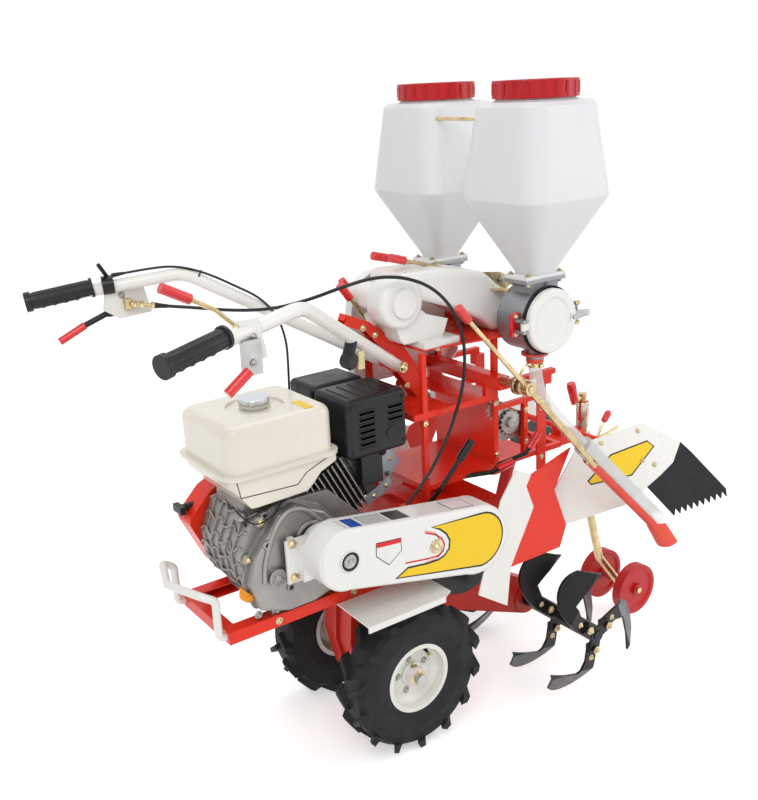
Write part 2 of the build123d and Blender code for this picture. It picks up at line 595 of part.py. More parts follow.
def build_shroud():
    shroud_x, shroud_z = (-376, -20), (232, 500)
    shares = ((0, 0.59), (0.15, 0.79), (0.5, 1), (0.86, 0.9), (1, 0.55), (0.88, 0.14), (0.68, 0), (0.27, 0), (0.15, 0.16))
    deep = 66
    corner = 20
    ends_y = (ENGINE_HALF + BAR_GAP, ENGINE_HALF + deep)
    shroud = round_y(side_plate(spread(shares, shroud_x, shroud_z), ends_y), corner)
    rim = shroud.faces().sort_by(Axis.Y)[-1]
    shroud = fillet(rim.edges(), corner / 2)
    inner = spread(shares, (shroud_x[0] + WALL * 2, shroud_x[1] - WALL * 2), (shroud_z[0] + WALL * 2, shroud_z[1] - WALL * 2))
    shroud -= round_y(side_plate(inner, (ends_y[0] + WALL * 2, ends_y[1] - WALL)), corner / 2)
    recoil_radius = 84
    recoil_rise = 14
    centre = (CRANK_X + POST, CRANK_Z + POST / 2)
    shroud += disc_y(*centre, recoil_radius, (ends_y[1] - WALL, ends_y[1] + recoil_rise))
    vent_count = 12
    vent_radius = 6
    vent_at = 62
    for index in range(vent_count):
        turn = radians(index * 360 / vent_count)
        shroud -= disc_y(centre[0] + vent_at * cos(turn), centre[1] + vent_at * sin(turn), vent_radius,
                         (ends_y[1] - OVERRUN, ends_y[1] + recoil_rise + OVERRUN))
    for other in ("fuel_tank", "engine_cylinder", "main_frame", "engine_crankcase", "air_cleaner"):
        shroud = shroud - pieces[other]
    pieces["fan_shroud"] = main_solid(shroud)
    grip_x, grip_z = (-384, -340), 412
    grip_radius = 8
    grip_y = ENGINE_HALF + deep / 2
    grip = rod((grip_x[0], grip_y, grip_z), (grip_x[1], grip_y, grip_z), grip_radius)
    grip += block((grip_x[0], grip_x[0] + POST), (grip_y - POST * 1.5, grip_y + POST * 1.5), (grip_z - grip_radius, grip_z + grip_radius))
    pieces["starter_grip"] = main_solid(grip - shroud)


def build_engine():
    build_crankcase()
    build_cylinder()
    build_tank()
    build_muffler()
    build_shroud()


# Belt drive cover: a hollow moulding over the engine pulley and the driven pulley
COVER_OUTER = -225
COVER_INNER = -155
DRIVEN_X = 139
DRIVEN_Z = 300
PULLEY_RADIUS = 92
PULLEY_X = 160
PULLEY_Z = 232
PULLEY_Y = (COVER_INNER + RUNNING_GAP, COVER_INNER + RUNNING_GAP * 4)


def cover_band(left_radius, right_radius, y_ends):
    left, right = (CRANK_X, CRANK_Z), (DRIVEN_X, DRIVEN_Z)
    band = side_plate([(left[0], left[1] + left_radius), (right[0], right[1] + right_radius),
                       (right[0], right[1] - right_radius), (left[0], left[1] - left_radius)], y_ends)
    return disc_y(*left, left_radius, y_ends) + disc_y(*right, right_radius, y_ends) + band


def build_belt_cover():
    left_radius = 64
    right_radius = 78
    corner = 9
    rim_radius = 22
    rim_wide = 4
    cover = cover_band(left_radius, right_radius, (COVER_OUTER, COVER_INNER))
    cover = fillet(cover.faces().sort_by(Axis.Y)[0].edges(), corner)
    cover -= cover_band(left_radius - SHEET, right_radius - SHEET, (COVER_OUTER + SHEET, COVER_INNER + OVERRUN))
    rim = disc_y(CRANK_X, CRANK_Z, rim_radius, (COVER_OUTER + SHEET, COVER_OUTER - SHEET))
    cover += rim - disc_y(CRANK_X, CRANK_Z, rim_radius - rim_wide, (COVER_OUTER, COVER_OUTER - SHEET * 2))
    # Back plate, open where the shafts pass
    back = cover_band(left_radius - SHEET, right_radius - SHEET, (COVER_INNER - SHEET, COVER_INNER))
    cover += back
    pieces["belt_cover"] = cover
    flange = (-276, -212)
    flange_z = (304, 396)
    flange_y = -ENGINE_HALF - COVER_THICK - POST
    mount = block(flange, (flange_y, flange_y - SHEET * 2), flange_z)
    mount += block((flange[0] + POST * 2, CRANK_X), (flange_y, COVER_INNER), (flange_z[0] + POST / 2, flange_z[1] - POST / 2))
    mount += disc_y(CRANK_X, CRANK_Z, left_radius * 0.7, (-ENGINE_HALF - COVER_THICK, COVER_INNER))
    mount += block((flange[0] + POST, flange[0] + POST * 2), (flange_y, -ENGINE_HALF), flange_z)
    pieces["belt_cover_mount"] = mount - cover - pieces["engine_crankcase"] - pieces["engine_cylinder"]
    hub_radius = 16
    pulley = disc_y(PULLEY_X, PULLEY_Z, PULLEY_RADIUS, PULLEY_Y)
    groove = ring_x([(PULLEY_RADIUS - POST / 2, 0), (PULLEY_RADIUS + SHEET, SHEET * 2), (PULLEY_RADIUS + SHEET, -SHEET * 2)])
    pulley -= Pos(PULLEY_X, sum(PULLEY_Y) / 2, PULLEY_Z) * groove
    pulley += disc_y(PULLEY_X, PULLEY_Z, hub_radius, (PULLEY_Y[1], -CASE_HALF))
    pieces["driven_pulley"] = main_solid(pulley - pieces["box_frame"] - pieces["gearbox_case"] - pieces["main_frame"])


# Front bumper of bent round bar
def build_bumper():
    radius = 8
    bend = 14
    post_x = RAIL_FRONT - 15
    foot_z = RAIL_TOP - RAIL_HIGH / 2
    top_z = RAIL_TOP + 76
    across_z = top_z + 10
    half = RAIL_OUTER - RAIL_WIDE / 2
    nose = 70
    near = [(RAIL_FRONT + POST, -half, foot_z), (post_x, -half, foot_z), (post_x, -half, top_z - POST / 2),
            (post_x - POST * 2, -half, across_z)]
    far = [mirrored(-1, point) for point in reversed(near)]
    route = near + [(RAIL_FRONT - nose, 0, across_z)] + far
    pieces["front_bumper"] = bent_rod(route, radius, bend) - pieces["main_frame"]


# Fenders: folded sheets that spread outward over the wheels
def build_fenders():
    inner = 60
    outer_x = (-156, 40)
    outer_half = 228
    inner_x = (-150, 62)
    fold = 14
    top_z = RAIL_TOP - RAIL_HIGH
    for name, side in SIDES:
        corners = ((inner_x[0], side * inner), (outer_x[0], side * outer_half), (outer_x[1], side * outer_half), (inner_x[1], side * (outer_half - POST)),
                   (inner_x[1], side * inner))
        sheet = extrude(make_face(Polyline(*[(x, y, top_z - SHEET) for x, y in corners], close=True)), SHEET, dir=(0, 0, 1))
        sheet += block(outer_x, (side * (outer_half - SHEET), side * outer_half), (top_z - fold, top_z))
        pieces[f"{name}_fender"] = sheet - pieces["main_frame"] - pieces["gearbox_case"]


# Handlebars with grips, plates and brace
PIVOT = (85, 30, 655)
BEND = (-262, 235, 871)
GRIP_IN = (-437, 288, 861)
GRIP_OUT = (-559, 325, 845)
PIVOT_PIN = 8
PLATE_Y = 278


def build_handles():
    bend_radius = 80
    grip_radius = 16.5
    collar_radius = 20
    collar_long = 6
    tubes = []
    grips = []
    for side in (-1, 1):
        pivot, bend = mirrored(side, PIVOT), mirrored(side, BEND)
        grip_in, grip_out = Vector(*mirrored(side, GRIP_IN)), Vector(*mirrored(side, GRIP_OUT))
        tubes.append(bent_rod([pivot, bend, tuple(grip_out)], TUBE_RADIUS, bend_radius))
        grip = rod(tuple(grip_in), tuple(grip_out), grip_radius)
        along = (grip_out - grip_in).normalized()
        for middle in (grip_in, grip_out - along * collar_long):
            grip += rod(tuple(middle), tuple(middle + along * collar_long), collar_radius)
        cap = rod(tuple(grip_out), tuple(grip_out + along * collar_long), collar_radius)
        grips.append((grip - tubes[-1]) + cap)
    bars = tubes[0] + tubes[1]
    # Left plate for the clutch lever and right plate for the turn lever, welded under the tubes
    left_shares = ((0, 0.3), (0.3, 0), (1, 0.05), (0.85, 1), (0.1, 1))
    bars += side_plate(spread(left_shares, (-424, -322), (790, 862)), (PLATE_Y, PLATE_Y + SHEET * 2))
    right_shares = ((0.2, 0), (1, 0.1), (0.8, 1), (0.1, 1), (0.35, 0.6))
    bars += side_plate(spread(right_shares, (-418, -362), (806, 880)), (-PLATE_Y, -PLATE_Y - SHEET * 2))
    pieces["handlebars"] = bars
    pieces["handle_grips"] = Compound([grip - bars for grip in grips])


# Folded bracket that carries the handlebars
CHEEK = 11


def build_handle_bracket():
    plate = 5
    bracket_x = (-34, 162)
    bracket_z = (561, 781)
    pin_over = 6
    ear_radius = 17
    foot_over = 34
    shares = ((0.98, 0), (0.9, 0.04), (0.66, 0.33), (0.6, 0.47), (0.27, 0.81), (0, 0.9), (0.05, 1), (0.3, 0.9), (0.73, 0.6),
              (0.98, 0.3))
    outline = spread(shares, bracket_x, bracket_z)
    cheeks = side_plate(outline, (-CHEEK, -CHEEK - plate)) + side_plate(outline, (CHEEK, CHEEK + plate))
    # Folded back of the channel, between the cheeks along their upper edge
    back_shares = ((0.0, 0.95), (0.05, 1), (0.3, 0.9), (0.73, 0.6), (0.98, 0.3), (0.95, 0.28), (0.7, 0.57), (0.28, 0.87))
    back = side_plate(spread(back_shares, bracket_x, bracket_z), (-CHEEK, CHEEK))
    reach = PIVOT[1] + TUBE_RADIUS + pin_over
    pin = disc_y(PIVOT[0], PIVOT[2], PIVOT_PIN, (-reach, reach))
    ears = disc_y(PIVOT[0], PIVOT[2], ear_radius, (-CHEEK - plate, CHEEK + plate))
    foot = block((POST_FRONT_X - POST * 2, POST_FRONT_X + POST * 5), (-foot_over, foot_over), (TRAY_Z, TRAY_Z + plate))
    bracket = cheeks + back + ears + foot + pin
    for other in ("handlebars", "box_frame", "deck"):
        bracket = bracket - pieces[other]
    pieces["handle_bracket"] = main_solid(bracket)


# Blower with its foot, duct and belt guard on the deck
SCROLL_X = 66
SCROLL_Z = 800
GUARD_Y = 90


def build_blower():
    scroll_radius = 54
    scroll_y = (-84, -30)
    eye_radius = 30
    eye_rise = 8
    foot_high = 14
    scroll = disc_y(SCROLL_X, SCROLL_Z, scroll_radius, scroll_y)
    scroll = fillet(scroll.faces().sort_by(Axis.Y)[0].edges(), POST)
    scroll += disc_y(SCROLL_X, SCROLL_Z, eye_radius, (scroll_y[0] + OVERRUN, scroll_y[0] - eye_rise))
    motor_y = (scroll_y[1], 70)
    scroll += disc_y(SCROLL_X, SCROLL_Z, eye_radius, motor_y)
    foot_x = (110, 205)
    foot = block(foot_x, (-92, 60), (DECK_TOP, DECK_TOP + foot_high))
    stand_shares = ((0.0, 0.55), (0.1, 0.1), (0.16, 0), (0.9, 0), (1, 0.4), (0.6, 0.6), (0.3, 1))
    stand = side_plate(spread(stand_shares, (52, 192), (DECK_TOP + foot_high, SCROLL_Z)), (-70, 40))
    body = main_solid(scroll + foot + stand - pieces["handle_bracket"])
    pieces["blower_housing"] = body
    # Duct from the scroll's top over to the deck between the two drums
    duct_shares = ((0.02, 0.7), (0.02, 1), (0.35, 0.98), (0.68, 0.84), (0.93, 0.42), (1, 0), (0.76, 0), (0.66, 0.18), (0.44, 0.42),
                   (0.22, 0.58))
    duct_y = (-78, 46)
    duct = side_plate(spread(duct_shares, (64, 400), (DECK_TOP, 858)), duct_y)
    duct = fillet(duct.edges().filter_by(Axis.Y), POST)
    arms_y = HOPPER_Y - DRUM_HALF - SOFT_GAP
    duct = fillet(duct.faces().sort_by(Axis.Y)[0].edges() + duct.faces().sort_by(Axis.Y)[-1].edges(), POST * 1.2)
    outlet_z = DECK_TOP + 40
    duct += disc_y(HOPPER_X, outlet_z, POST * 2, (-arms_y, arms_y))
    pieces["air_duct"] = duct - body - pieces["deck"]
    guard_shares = ((0.03, 0), (0.92, 0), (1, 0.1), (0.95, 0.78), (0.8, 0.93), (0.22, 1), (0.06, 0.9), (0, 0.5))
    guard = round_y(side_plate(spread(guard_shares, (46, 352), (590, 838)), (GUARD_Y, GUARD_Y + POST * 2)), POST)
    guard -= side_plate(spread(guard_shares, (46 + SHEET, 352 - SHEET), (590 + SHEET, 838 - SHEET)),
                        (GUARD_Y - OVERRUN, GUARD_Y + POST * 2 - SHEET))
    for other in ("deck", "box_frame", "blower_housing", "air_duct"):
        guard = guard - pieces[other]
    pieces["belt_guard"] = main_solid(guard)



# Seed hoppers and metering drums, made for the left-hand side and mirrored
def rounded_square(half, corner, z):
    return Pos(0, 0, z) * RectangleRounded(half * 2, half * 2, corner)


HOPPER_CORNER = 42
HOPPER_NECK = 32
HOPPER_WAIST = 118
WAIST_HIGH = 162
HOPPER_SHOULDER = 97
SHOULDER_HIGH = 357
COLLAR_RADIUS = 80
COLLAR_HIGH = 6
LID_RADIUS = 87
LID_HIGH = 35
FLANGE_HALF_X = 56
FLANGE_HALF_Y = 34
FLANGE_THICK = 8
HINGE_REACH = 80
HINGE_Y = DRUM_HALF + 7
HINGE_PIN = 3
KNUCKLE = 6
KNUCKLE_HALF = 8


def hopper():
    neck_corner = 14
    ease = 9
    levels = ((HOPPER_NECK, neck_corner, FLANGE_THICK), (HOPPER_WAIST - ease, HOPPER_CORNER, WAIST_HIGH - ease * 1.6),
              (HOPPER_WAIST, HOPPER_CORNER, WAIST_HIGH + ease * 0.6), (HOPPER_SHOULDER, HOPPER_CORNER, SHOULDER_HIGH - ease),
              (HOPPER_SHOULDER - ease, HOPPER_CORNER - ease, SHOULDER_HIGH))
    shell = loft([rounded_square(*level) for level in levels], ruled=True)
    hollow = loft([rounded_square(half - HOPPER_WALL, corner - HOPPER_WALL, z) for half, corner, z in levels], ruled=True)
    ceiling = block((-HOPPER_WAIST, HOPPER_WAIST), (-HOPPER_WAIST, HOPPER_WAIST),
                    (SHOULDER_HIGH - HOPPER_WALL, SHOULDER_HIGH + OVERRUN))
    shell += disc_z(0, 0, COLLAR_RADIUS, (SHOULDER_HIGH, SHOULDER_HIGH + COLLAR_HIGH))
    shell -= hollow - ceiling
    shell -= disc_z(0, 0, COLLAR_RADIUS - HOPPER_WALL * 2, (SHOULDER_HIGH - HOPPER_WALL * 2, SHOULDER_HIGH + COLLAR_HIGH + OVERRUN))
    flange = block((-FLANGE_HALF_X, FLANGE_HALF_X), (-FLANGE_HALF_Y, FLANGE_HALF_Y), (0, FLANGE_THICK))
    shell += flange
    return shell - disc_z(0, 0, HOPPER_NECK - HOPPER_WALL, (-OVERRUN, FLANGE_THICK + OVERRUN))


def hopper_lid():
    notch = 5
    notches = 20
    dish = 70
    dish_deep = 4
    low = SHOULDER_HIGH + COLLAR_HIGH + SOFT_GAP
    high = SHOULDER_HIGH + COLLAR_HIGH + LID_HIGH
    lid = disc_z(0, 0, LID_RADIUS, (low, high)) - disc_z(0, 0, dish, (high - dish_deep, high + OVERRUN))
    for index in range(notches):
        turn = radians(index * 360 / notches)
        reach = LID_RADIUS + notch / 2
        lid -= disc_z(reach * cos(turn), reach * sin(turn), notch, (low - OVERRUN, high - dish_deep))
    return lid


def metering_drum():
    back_wall = 10
    rim = 8
    roller = 54
    roller_back = 12
    pocket = 7
    pockets = 12
    outlet = 20
    outlet_low = 90
    neck_share = 0.7
    lug = 13
    lug_thick = 6
    lug_gap = 0.5
    rise = HOPPER_BASE - DRUM_Z
    low, high = -HOPPER_BASE + DRUM_Z, 0
    drum = disc_y(0, low, DRUM_RADIUS, (-DRUM_HALF, DRUM_HALF))
    half = FLANGE_HALF_X * neck_share
    neck = [(-half, low), (half, low), (half, high - FLANGE_THICK * 2), (FLANGE_HALF_X - lug_thick, high - FLANGE_THICK),
            (-FLANGE_HALF_X + lug_thick, high - FLANGE_THICK), (-half, high - FLANGE_THICK * 2)]
    drum += side_plate(neck, (-FLANGE_HALF_Y + lug_thick, FLANGE_HALF_Y - lug_thick))
    drum += block((-FLANGE_HALF_X, FLANGE_HALF_X), (-FLANGE_HALF_Y, FLANGE_HALF_Y), (high - FLANGE_THICK, high))
    drum += disc_z(0, 0, outlet, (low - outlet_low, low))
    drum -= disc_y(0, low, DRUM_RADIUS - rim, (-DRUM_HALF + back_wall, DRUM_HALF + OVERRUN))
    drum -= disc_z(0, 0, HOPPER_NECK - HOPPER_WALL, (low, high + OVERRUN))
    wheel = disc_y(0, low, roller, (-DRUM_HALF + back_wall, DRUM_HALF - roller_back))
    for index in range(pockets):
        turn = radians(index * 360 / pockets)
        wheel -= disc_y(roller * cos(turn), low + roller * sin(turn), pocket, (-DRUM_HALF + back_wall, DRUM_HALF))
    drum += wheel
    for side in (-1, 1):
        foot, head = low + side * (KNUCKLE_HALF + lug_gap), low + side * (KNUCKLE_HALF + lug_gap + lug_thick)
        drum += block((-HINGE_REACH - KNUCKLE, -DRUM_RADIUS + rim / 2), (DRUM_HALF - lug, DRUM_HALF), (foot, head))
        drum += block((-HINGE_REACH - KNUCKLE, -HINGE_REACH + KNUCKLE), (DRUM_HALF - lug, HINGE_Y + KNUCKLE), (foot, head))
    pin = KNUCKLE_HALF + lug_gap + lug_thick
    return drum + disc_z(-HINGE_REACH, HINGE_Y, HINGE_PIN, (low - pin, low + pin))


def metering_cover():
    thick = 10
    rim_rise = 4
    rim_shares = (0.96, 0.75, 0.68)
    radius = DRUM_RADIUS - SHEET
    face = DRUM_HALF + SOFT_GAP
    outer, inner, dish = (radius * share for share in rim_shares)
    cover = ring_x([(0, face), (radius, face), (radius, face + thick), (outer, face + thick + rim_rise),
                    (inner, face + thick + rim_rise), (dish, face + thick), (0, face + thick)])
    cover += block((-HINGE_REACH, -outer + thick), (face, face + thick), (-KNUCKLE_HALF, KNUCKLE_HALF))
    cover += disc_z(-HINGE_REACH, HINGE_Y, KNUCKLE, (-KNUCKLE_HALF, KNUCKLE_HALF))
    return cover - disc_z(-HINGE_REACH, HINGE_Y, HINGE_PIN + PIN_GAP, (-KNUCKLE_HALF - OVERRUN, KNUCKLE_HALF + OVERRUN))


def build_hoppers():
    shelf = (330, 390)
    shelf_thick = 12
    shell, lid, drum, cover = hopper(), hopper_lid(), metering_drum(), metering_cover()
    for name, side in SIDES:
        place = Pos(HOPPER_X, side * HOPPER_Y, HOPPER_BASE)
        drum_place = Pos(HOPPER_X, side * HOPPER_Y, DRUM_Z)
        own_drum, own_cover = (drum, cover) if side > 0 else (mirror(drum, Plane.XZ), mirror(cover, Plane.XZ))
        pieces[f"{name}_hopper"] = place * shell
        pieces[f"{name}_hopper_lid"] = place * lid
        pieces[f"{name}_metering_drum"] = main_solid(place * own_drum - pieces["air_duct"] - pieces["deck"])
        pieces[f"{name}_metering_cover"] = drum_place * own_cover
    inner = HOPPER_Y - DRUM_HALF
    bearer = block(shelf, (-inner, inner), (DECK_TOP, DECK_TOP + shelf_thick))
    pieces["deck"] = main_solid(pieces["deck"] + bearer - pieces["belt_guard"] - pieces["air_duct"])


# Depth mast: beam with a round sleeve, sliding leg with its crank, and two wheels
SLEEVE_RADIUS = 15
SLEEVE_LOW = 330
LEG_RADIUS = 11
GAUGE_AXLE = 8
BEAM_HALF = 15
BEAM_LOW = 340
BEAM_HIGH = 366
BEAM_FRONT = 430


def build_gauge():
    sleeve_high = 434
    leg_top = 455
    knee = (757, -30)
    bend_z = 240
    bend = 40
    crank_radius = 5
    crank_knob = 9
    arm_z = 450
    crank_foot = (653, 434)
    crank_tip = (639, 488)
    axle_over = 22
    beam = block((BEAM_FRONT, MAST_X), (-BEAM_HALF, BEAM_HALF), (BEAM_LOW, BEAM_HIGH))
    beam += disc_z(MAST_X, 0, SLEEVE_RADIUS, (SLEEVE_LOW, sleeve_high))
    beam -= disc_z(MAST_X, 0, LEG_RADIUS + BAR_GAP, (SLEEVE_LOW - OVERRUN, sleeve_high + OVERRUN))
    hanger = (476, 500)
    beam += block(hanger, (-BEAM_HALF, BEAM_HALF), (BEAM_HIGH - OVERRUN, LOWER_RAIL_Z + POST / 2))
    beam += block((WING_ANCHOR[0] - POST, WING_ANCHOR[0] + POST), (-BEAM_HALF, BEAM_HALF), (BEAM_HIGH - OVERRUN, WING_ANCHOR[2] + POST))
    pieces["rear_beam"] = beam - pieces["box_frame"]
    route = [(MAST_X, 0, leg_top), (MAST_X, 0, bend_z), (knee[0], 0, knee[1]), (GAUGE_X, 0, GAUGE_Z)]
    leg = bent_rod(route, LEG_RADIUS, bend)
    leg += disc_y(GAUGE_X, GAUGE_Z, GAUGE_AXLE, (-GAUGE_HALF - axle_over, GAUGE_HALF + axle_over))
    leg += rod((MAST_X, 0, arm_z), (crank_foot[0], 0, crank_foot[1]), crank_radius)
    leg += rod((crank_foot[0], 0, crank_foot[1]), (crank_tip[0], 0, crank_tip[1]), crank_knob)
    pieces["gauge_leg"] = leg
    hub, hub_half = 16, 16
    tread_half = 13
    web_half = 8
    web_share, tread_share = 0.78, 0.85
    half_profile = [(hub, hub_half), (hub, web_half), (GAUGE_RADIUS * web_share, web_half),
                    (GAUGE_RADIUS * tread_share, tread_half), (GAUGE_RADIUS, tread_half)]
    bore = GAUGE_AXLE + PIN_GAP
    wheel = ring_x([(bore, hub_half)] + half_profile + [(r, -y) for r, y in reversed(half_profile)] + [(bore, -hub_half)])
    for name, side in SIDES:
        pieces[f"{name}_gauge_wheel"] = Pos(GAUGE_X, side * GAUGE_HALF, GAUGE_Z) * wheel


# Rotor hood, its strap and the two-coloured side shields
SHIELD_Y = 215
HOOD_LOW = 205


def build_guards():
    shield_x, shield_z = (138, 413), (113, 438)
    red_shares = ((0.34, 0.28), (0.89, 0.28), (0.96, 0.43), (0.82, 0.73), (1, 1), (0.56, 0.9), (0.51, 0.83), (0.59, 0.66))
    white_shares = ((0, 0.17), (0.3, 0), (0.34, 0.28), (0.59, 0.66), (0.51, 0.83), (0.56, 0.9), (0.4, 0.97), (0.24, 0.79))
    for name, side in SIDES:
        ends_y = (side * SHIELD_Y, side * (SHIELD_Y + SHEET))
        pieces[f"{name}_red_shield"] = side_plate(spread(red_shares, shield_x, shield_z), ends_y)
        white = side_plate(spread(white_shares, shield_x, shield_z), ends_y)
        pieces[f"{name}_white_shield"] = main_solid(white - pieces["belt_cover"])
    hood_shares = ((0, 0), (0.88, 0), (1, 1), (0.984, 1.03), (0.866, 0.06), (0, 0.06))
    hood_x, hood_z = (232, 402), (HOOD_LOW, HOOD_LOW + 48)
    hood = side_plate(spread(hood_shares, hood_x, hood_z), (-SHIELD_Y, SHIELD_Y))
    strap_shares = ((0, 0), (0.16, 0), (1, 0.86), (1, 1), (0.8, 1))
    strap = side_plate(spread(strap_shares, (hood_x[1] - SHEET * 2, BEAM_FRONT + POST), (HOOD_LOW + 44, BEAM_HIGH)), (-BEAM_HALF, BEAM_HALF))
    room_y = (PULLEY_Y[0] - RUNNING_GAP, PULLEY_Y[1] + RUNNING_GAP)
    guard = hood + strap - disc_y(PULLEY_X, PULLEY_Z, PULLEY_RADIUS + RUNNING_GAP, room_y)
    for other in ("box_frame", "rotor_arm", "rear_beam", "gearbox_case"):
        guard = guard - pieces[other]
    pieces["rotor_hood"] = main_solid(guard)


# Hilling wings: leaning plates with rubber skirts, on an arm across the rear beam
WING_ANCHOR = (600, -190, 370)
WING_LEAN_SHARE = 0.45
WING_FLARE_SHARE = -0.15


def wing_sheet(outline):
    points = [(x, WING_ANCHOR[1] + WING_LEAN_SHARE * (z - WING_ANCHOR[2]) + WING_FLARE_SHARE * (x - WING_ANCHOR[0]), z)
              for x, z in outline]
    return extrude(make_face(Polyline(*points, close=True)), SHEET, dir=(0, -1, 0))


def build_wings():
    wing_x, wing_z = (392, 785), (253, 419)
    wing_shares = ((0.37, 0.94), (0.77, 1), (1, 0.64), (0.9, 0.4), (0.78, 0.28), (0.66, 0.18), (0.47, 0.03), (0.03, 0),
                   (0, 0.13), (0.02, 0.45), (0.22, 0.83))
    skirt_x, skirt_z = (651, 879), (206, 360)
    root_shares = ((0, 0.5), (0.21, 0.604), (0.412, 0.734), (0.588, 1), (0.69, 0.82), (1, 0.17))
    teeth = 9
    start_share, end_share = (0.98, 0.05), (0.23, 0)
    notch_share = 0.1
    arm_half = 196
    arm_radius = 8
    arm_z = WING_ANCHOR[2] + 14
    edge = list(root_shares)
    for index in range(teeth):
        tip, notch = index / teeth, (index + 1 / 2) / teeth
        run, drop = end_share[0] - start_share[0], end_share[1] - start_share[1]
        edge.append((start_share[0] + run * tip, start_share[1] + drop * tip))
        edge.append((start_share[0] + run * notch, start_share[1] + drop * notch + notch_share))
    edge.append(end_share)
    for name, side in SIDES:
        plate = wing_sheet(spread(wing_shares, wing_x, wing_z))
        flap = wing_sheet(spread(edge, skirt_x, skirt_z))
        if side > 0:
            plate, flap = mirror(plate, Plane.XZ), mirror(flap, Plane.XZ)
        pieces[f"{name}_wing"] = plate
        pieces[f"{name}_skirt"] = main_solid(flap - plate)
    arm = rod((WING_ANCHOR[0], -arm_half, arm_z), (WING_ANCHOR[0], arm_half, arm_z), arm_radius)
    pieces["rear_beam"] += main_solid(arm - pieces["right_wing"] - pieces["left_wing"])


# Seed tubes: clear hose below each drum, wide clear tube on a red trough that ends in a spout, and the carrying arm
HOSE_RADIUS = 15
TUBE_TOP = (411, 256, 454)
TUBE_FOOT = (617, 296, 231)
HOSE_ROUTE = ((360, 159, 644), (360, 159, 588), (369, 186, 540), (386, 222, 498), (411, 256, 454))


def build_seed_tubes():
    tube_radius = 21
    trough_radius = 25
    spout_long = 84
    spout_wide, spout_flat = 74, 34
    trough_share = 0.1
    spout_corner = 8
    pivot = (271, 230, 609)
    arm_end = (428, 279, 408)
    hand_foot = (134, 206, 773)
    hand_tip = (108, 206, 804)
    hand_radius = 5
    bar_wide, bar_thick = 13, 7
    clamp_radius, clamp_half = 15, 11
    spindle = 9
    knob = 9
    top, foot = Vector(*TUBE_TOP), Vector(*TUBE_FOOT)
    along = (foot - top).normalized()
    long = (foot - top).length
    for name, side in SIDES:
        route = [mirrored(side, point) for point in HOSE_ROUTE]
        hose = cord(route, HOSE_RADIUS)
        frame = Plane(origin=TUBE_TOP, z_dir=along, x_dir=(0, 1, 0))
        tube = extrude(frame * Circle(tube_radius), long)
        tube -= extrude(frame.offset(WALL) * Circle(tube_radius - WALL), long)
        trough = extrude(frame.offset(long * trough_share) * (Circle(trough_radius) - Circle(tube_radius + SOFT_GAP)),
                         long * (1 - trough_share))
        keep = extrude(frame * (Pos(0, trough_radius) * Rectangle(trough_radius * 4, trough_radius * 2)), long * 2)
        trough = trough - keep
        end = frame.offset(long)
        mouth = frame.offset(long + spout_long)
        spout = loft([end * RectangleRounded(trough_radius * 2, trough_radius * 2, trough_radius - SHEET),
                      mouth * RectangleRounded(spout_wide, spout_flat, spout_corner)], ruled=True)
        spout -= loft([end * RectangleRounded(trough_radius * 2 - WALL * 2, trough_radius * 2 - WALL * 2, trough_radius - SHEET - WALL),
                       mouth * RectangleRounded(spout_wide - WALL * 2, spout_flat - WALL * 2, spout_corner - WALL)], ruled=True)
        chute = spout + trough
        if side < 0:
            tube, chute = mirror(tube, Plane.XZ), mirror(chute, Plane.XZ)
        pieces[f"{name}_seed_hose"] = hose
        pieces[f"{name}_seed_tube"] = tube - hose
        pieces[f"{name}_seed_spout"] = chute - pieces[f"{name}_seed_tube"]
        start, last = Vector(*mirrored(side, pivot)), Vector(*mirrored(side, arm_end))
        bar = extrude(Plane(origin=start, z_dir=last - start, x_dir=(0, 1, 0)) * Rectangle(bar_thick, bar_wide), (last - start).length)
        arm = bar + rod(mirrored(side, hand_foot), mirrored(side, pivot), hand_radius)
        arm += disc_y(pivot[0], pivot[2], clamp_radius, (side * (pivot[1] - clamp_half), side * (pivot[1] + clamp_half)))
        arm += disc_y(pivot[0], pivot[2], spindle, (side * CROSS_END, side * pivot[1]))
        for other in (f"{name}_seed_tube", f"{name}_seed_spout", f"{name}_seed_hose", "box_frame"):
            arm = arm - pieces[other]
        pieces[f"{name}_tube_arm"] = main_solid(arm)
        grip = rod(mirrored(side, hand_tip), mirrored(side, hand_foot), knob)
        pieces[f"{name}_tube_knob"] = grip - pieces[f"{name}_tube_arm"]


# Hand levers: each runs from its foot over a knee to its knob; places are shares of the levers' own space
LEVER_X = (0, 412)
LEVER_Y = (-150, 50)
LEVER_Z = (348, 885)
Lever = namedtuple("Lever", "black_rod black_knob thick knob_thick knob_long foot_shares knee_shares tip_shares")
LEVERS = (
    Lever(True, True, 5, 9, 50, (0.238, 0.25, 0.004), (0.267, 0.075, 0.097), (0.447, 0, 0.272)),
    Lever(True, False, 5, 9, 42, (0.704, 0.25, 0.08), (0.886, 0.125, 0.115), (0.978, 0.125, 0.19)),
    Lever(True, False, 5, 9, 42, (0.5, 0.25, 0.078), (0.636, 0.125, 0.082), (0.772, 0.09, 0.104)),
    Lever(False, False, 4, 9, 38, (0.801, 0.625, 0.844), (0.485, 0.625, 0.935), (0.194, 0.625, 1)),
    Lever(False, False, 4, 9, 38, (0.801, 0.875, 0.844), (0.485, 0.875, 0.935), (0.175, 0.875, 1)),
    Lever(False, False, 4, 9, 40, (0.286, 1, 0.659), (0.155, 1, 0.739), (0.005, 1, 0.898)),
)


def lever_place(shares):
    ends = (LEVER_X, LEVER_Y, LEVER_Z)
    return Vector(*[low + (high - low) * share for (low, high), share in zip(ends, shares)])


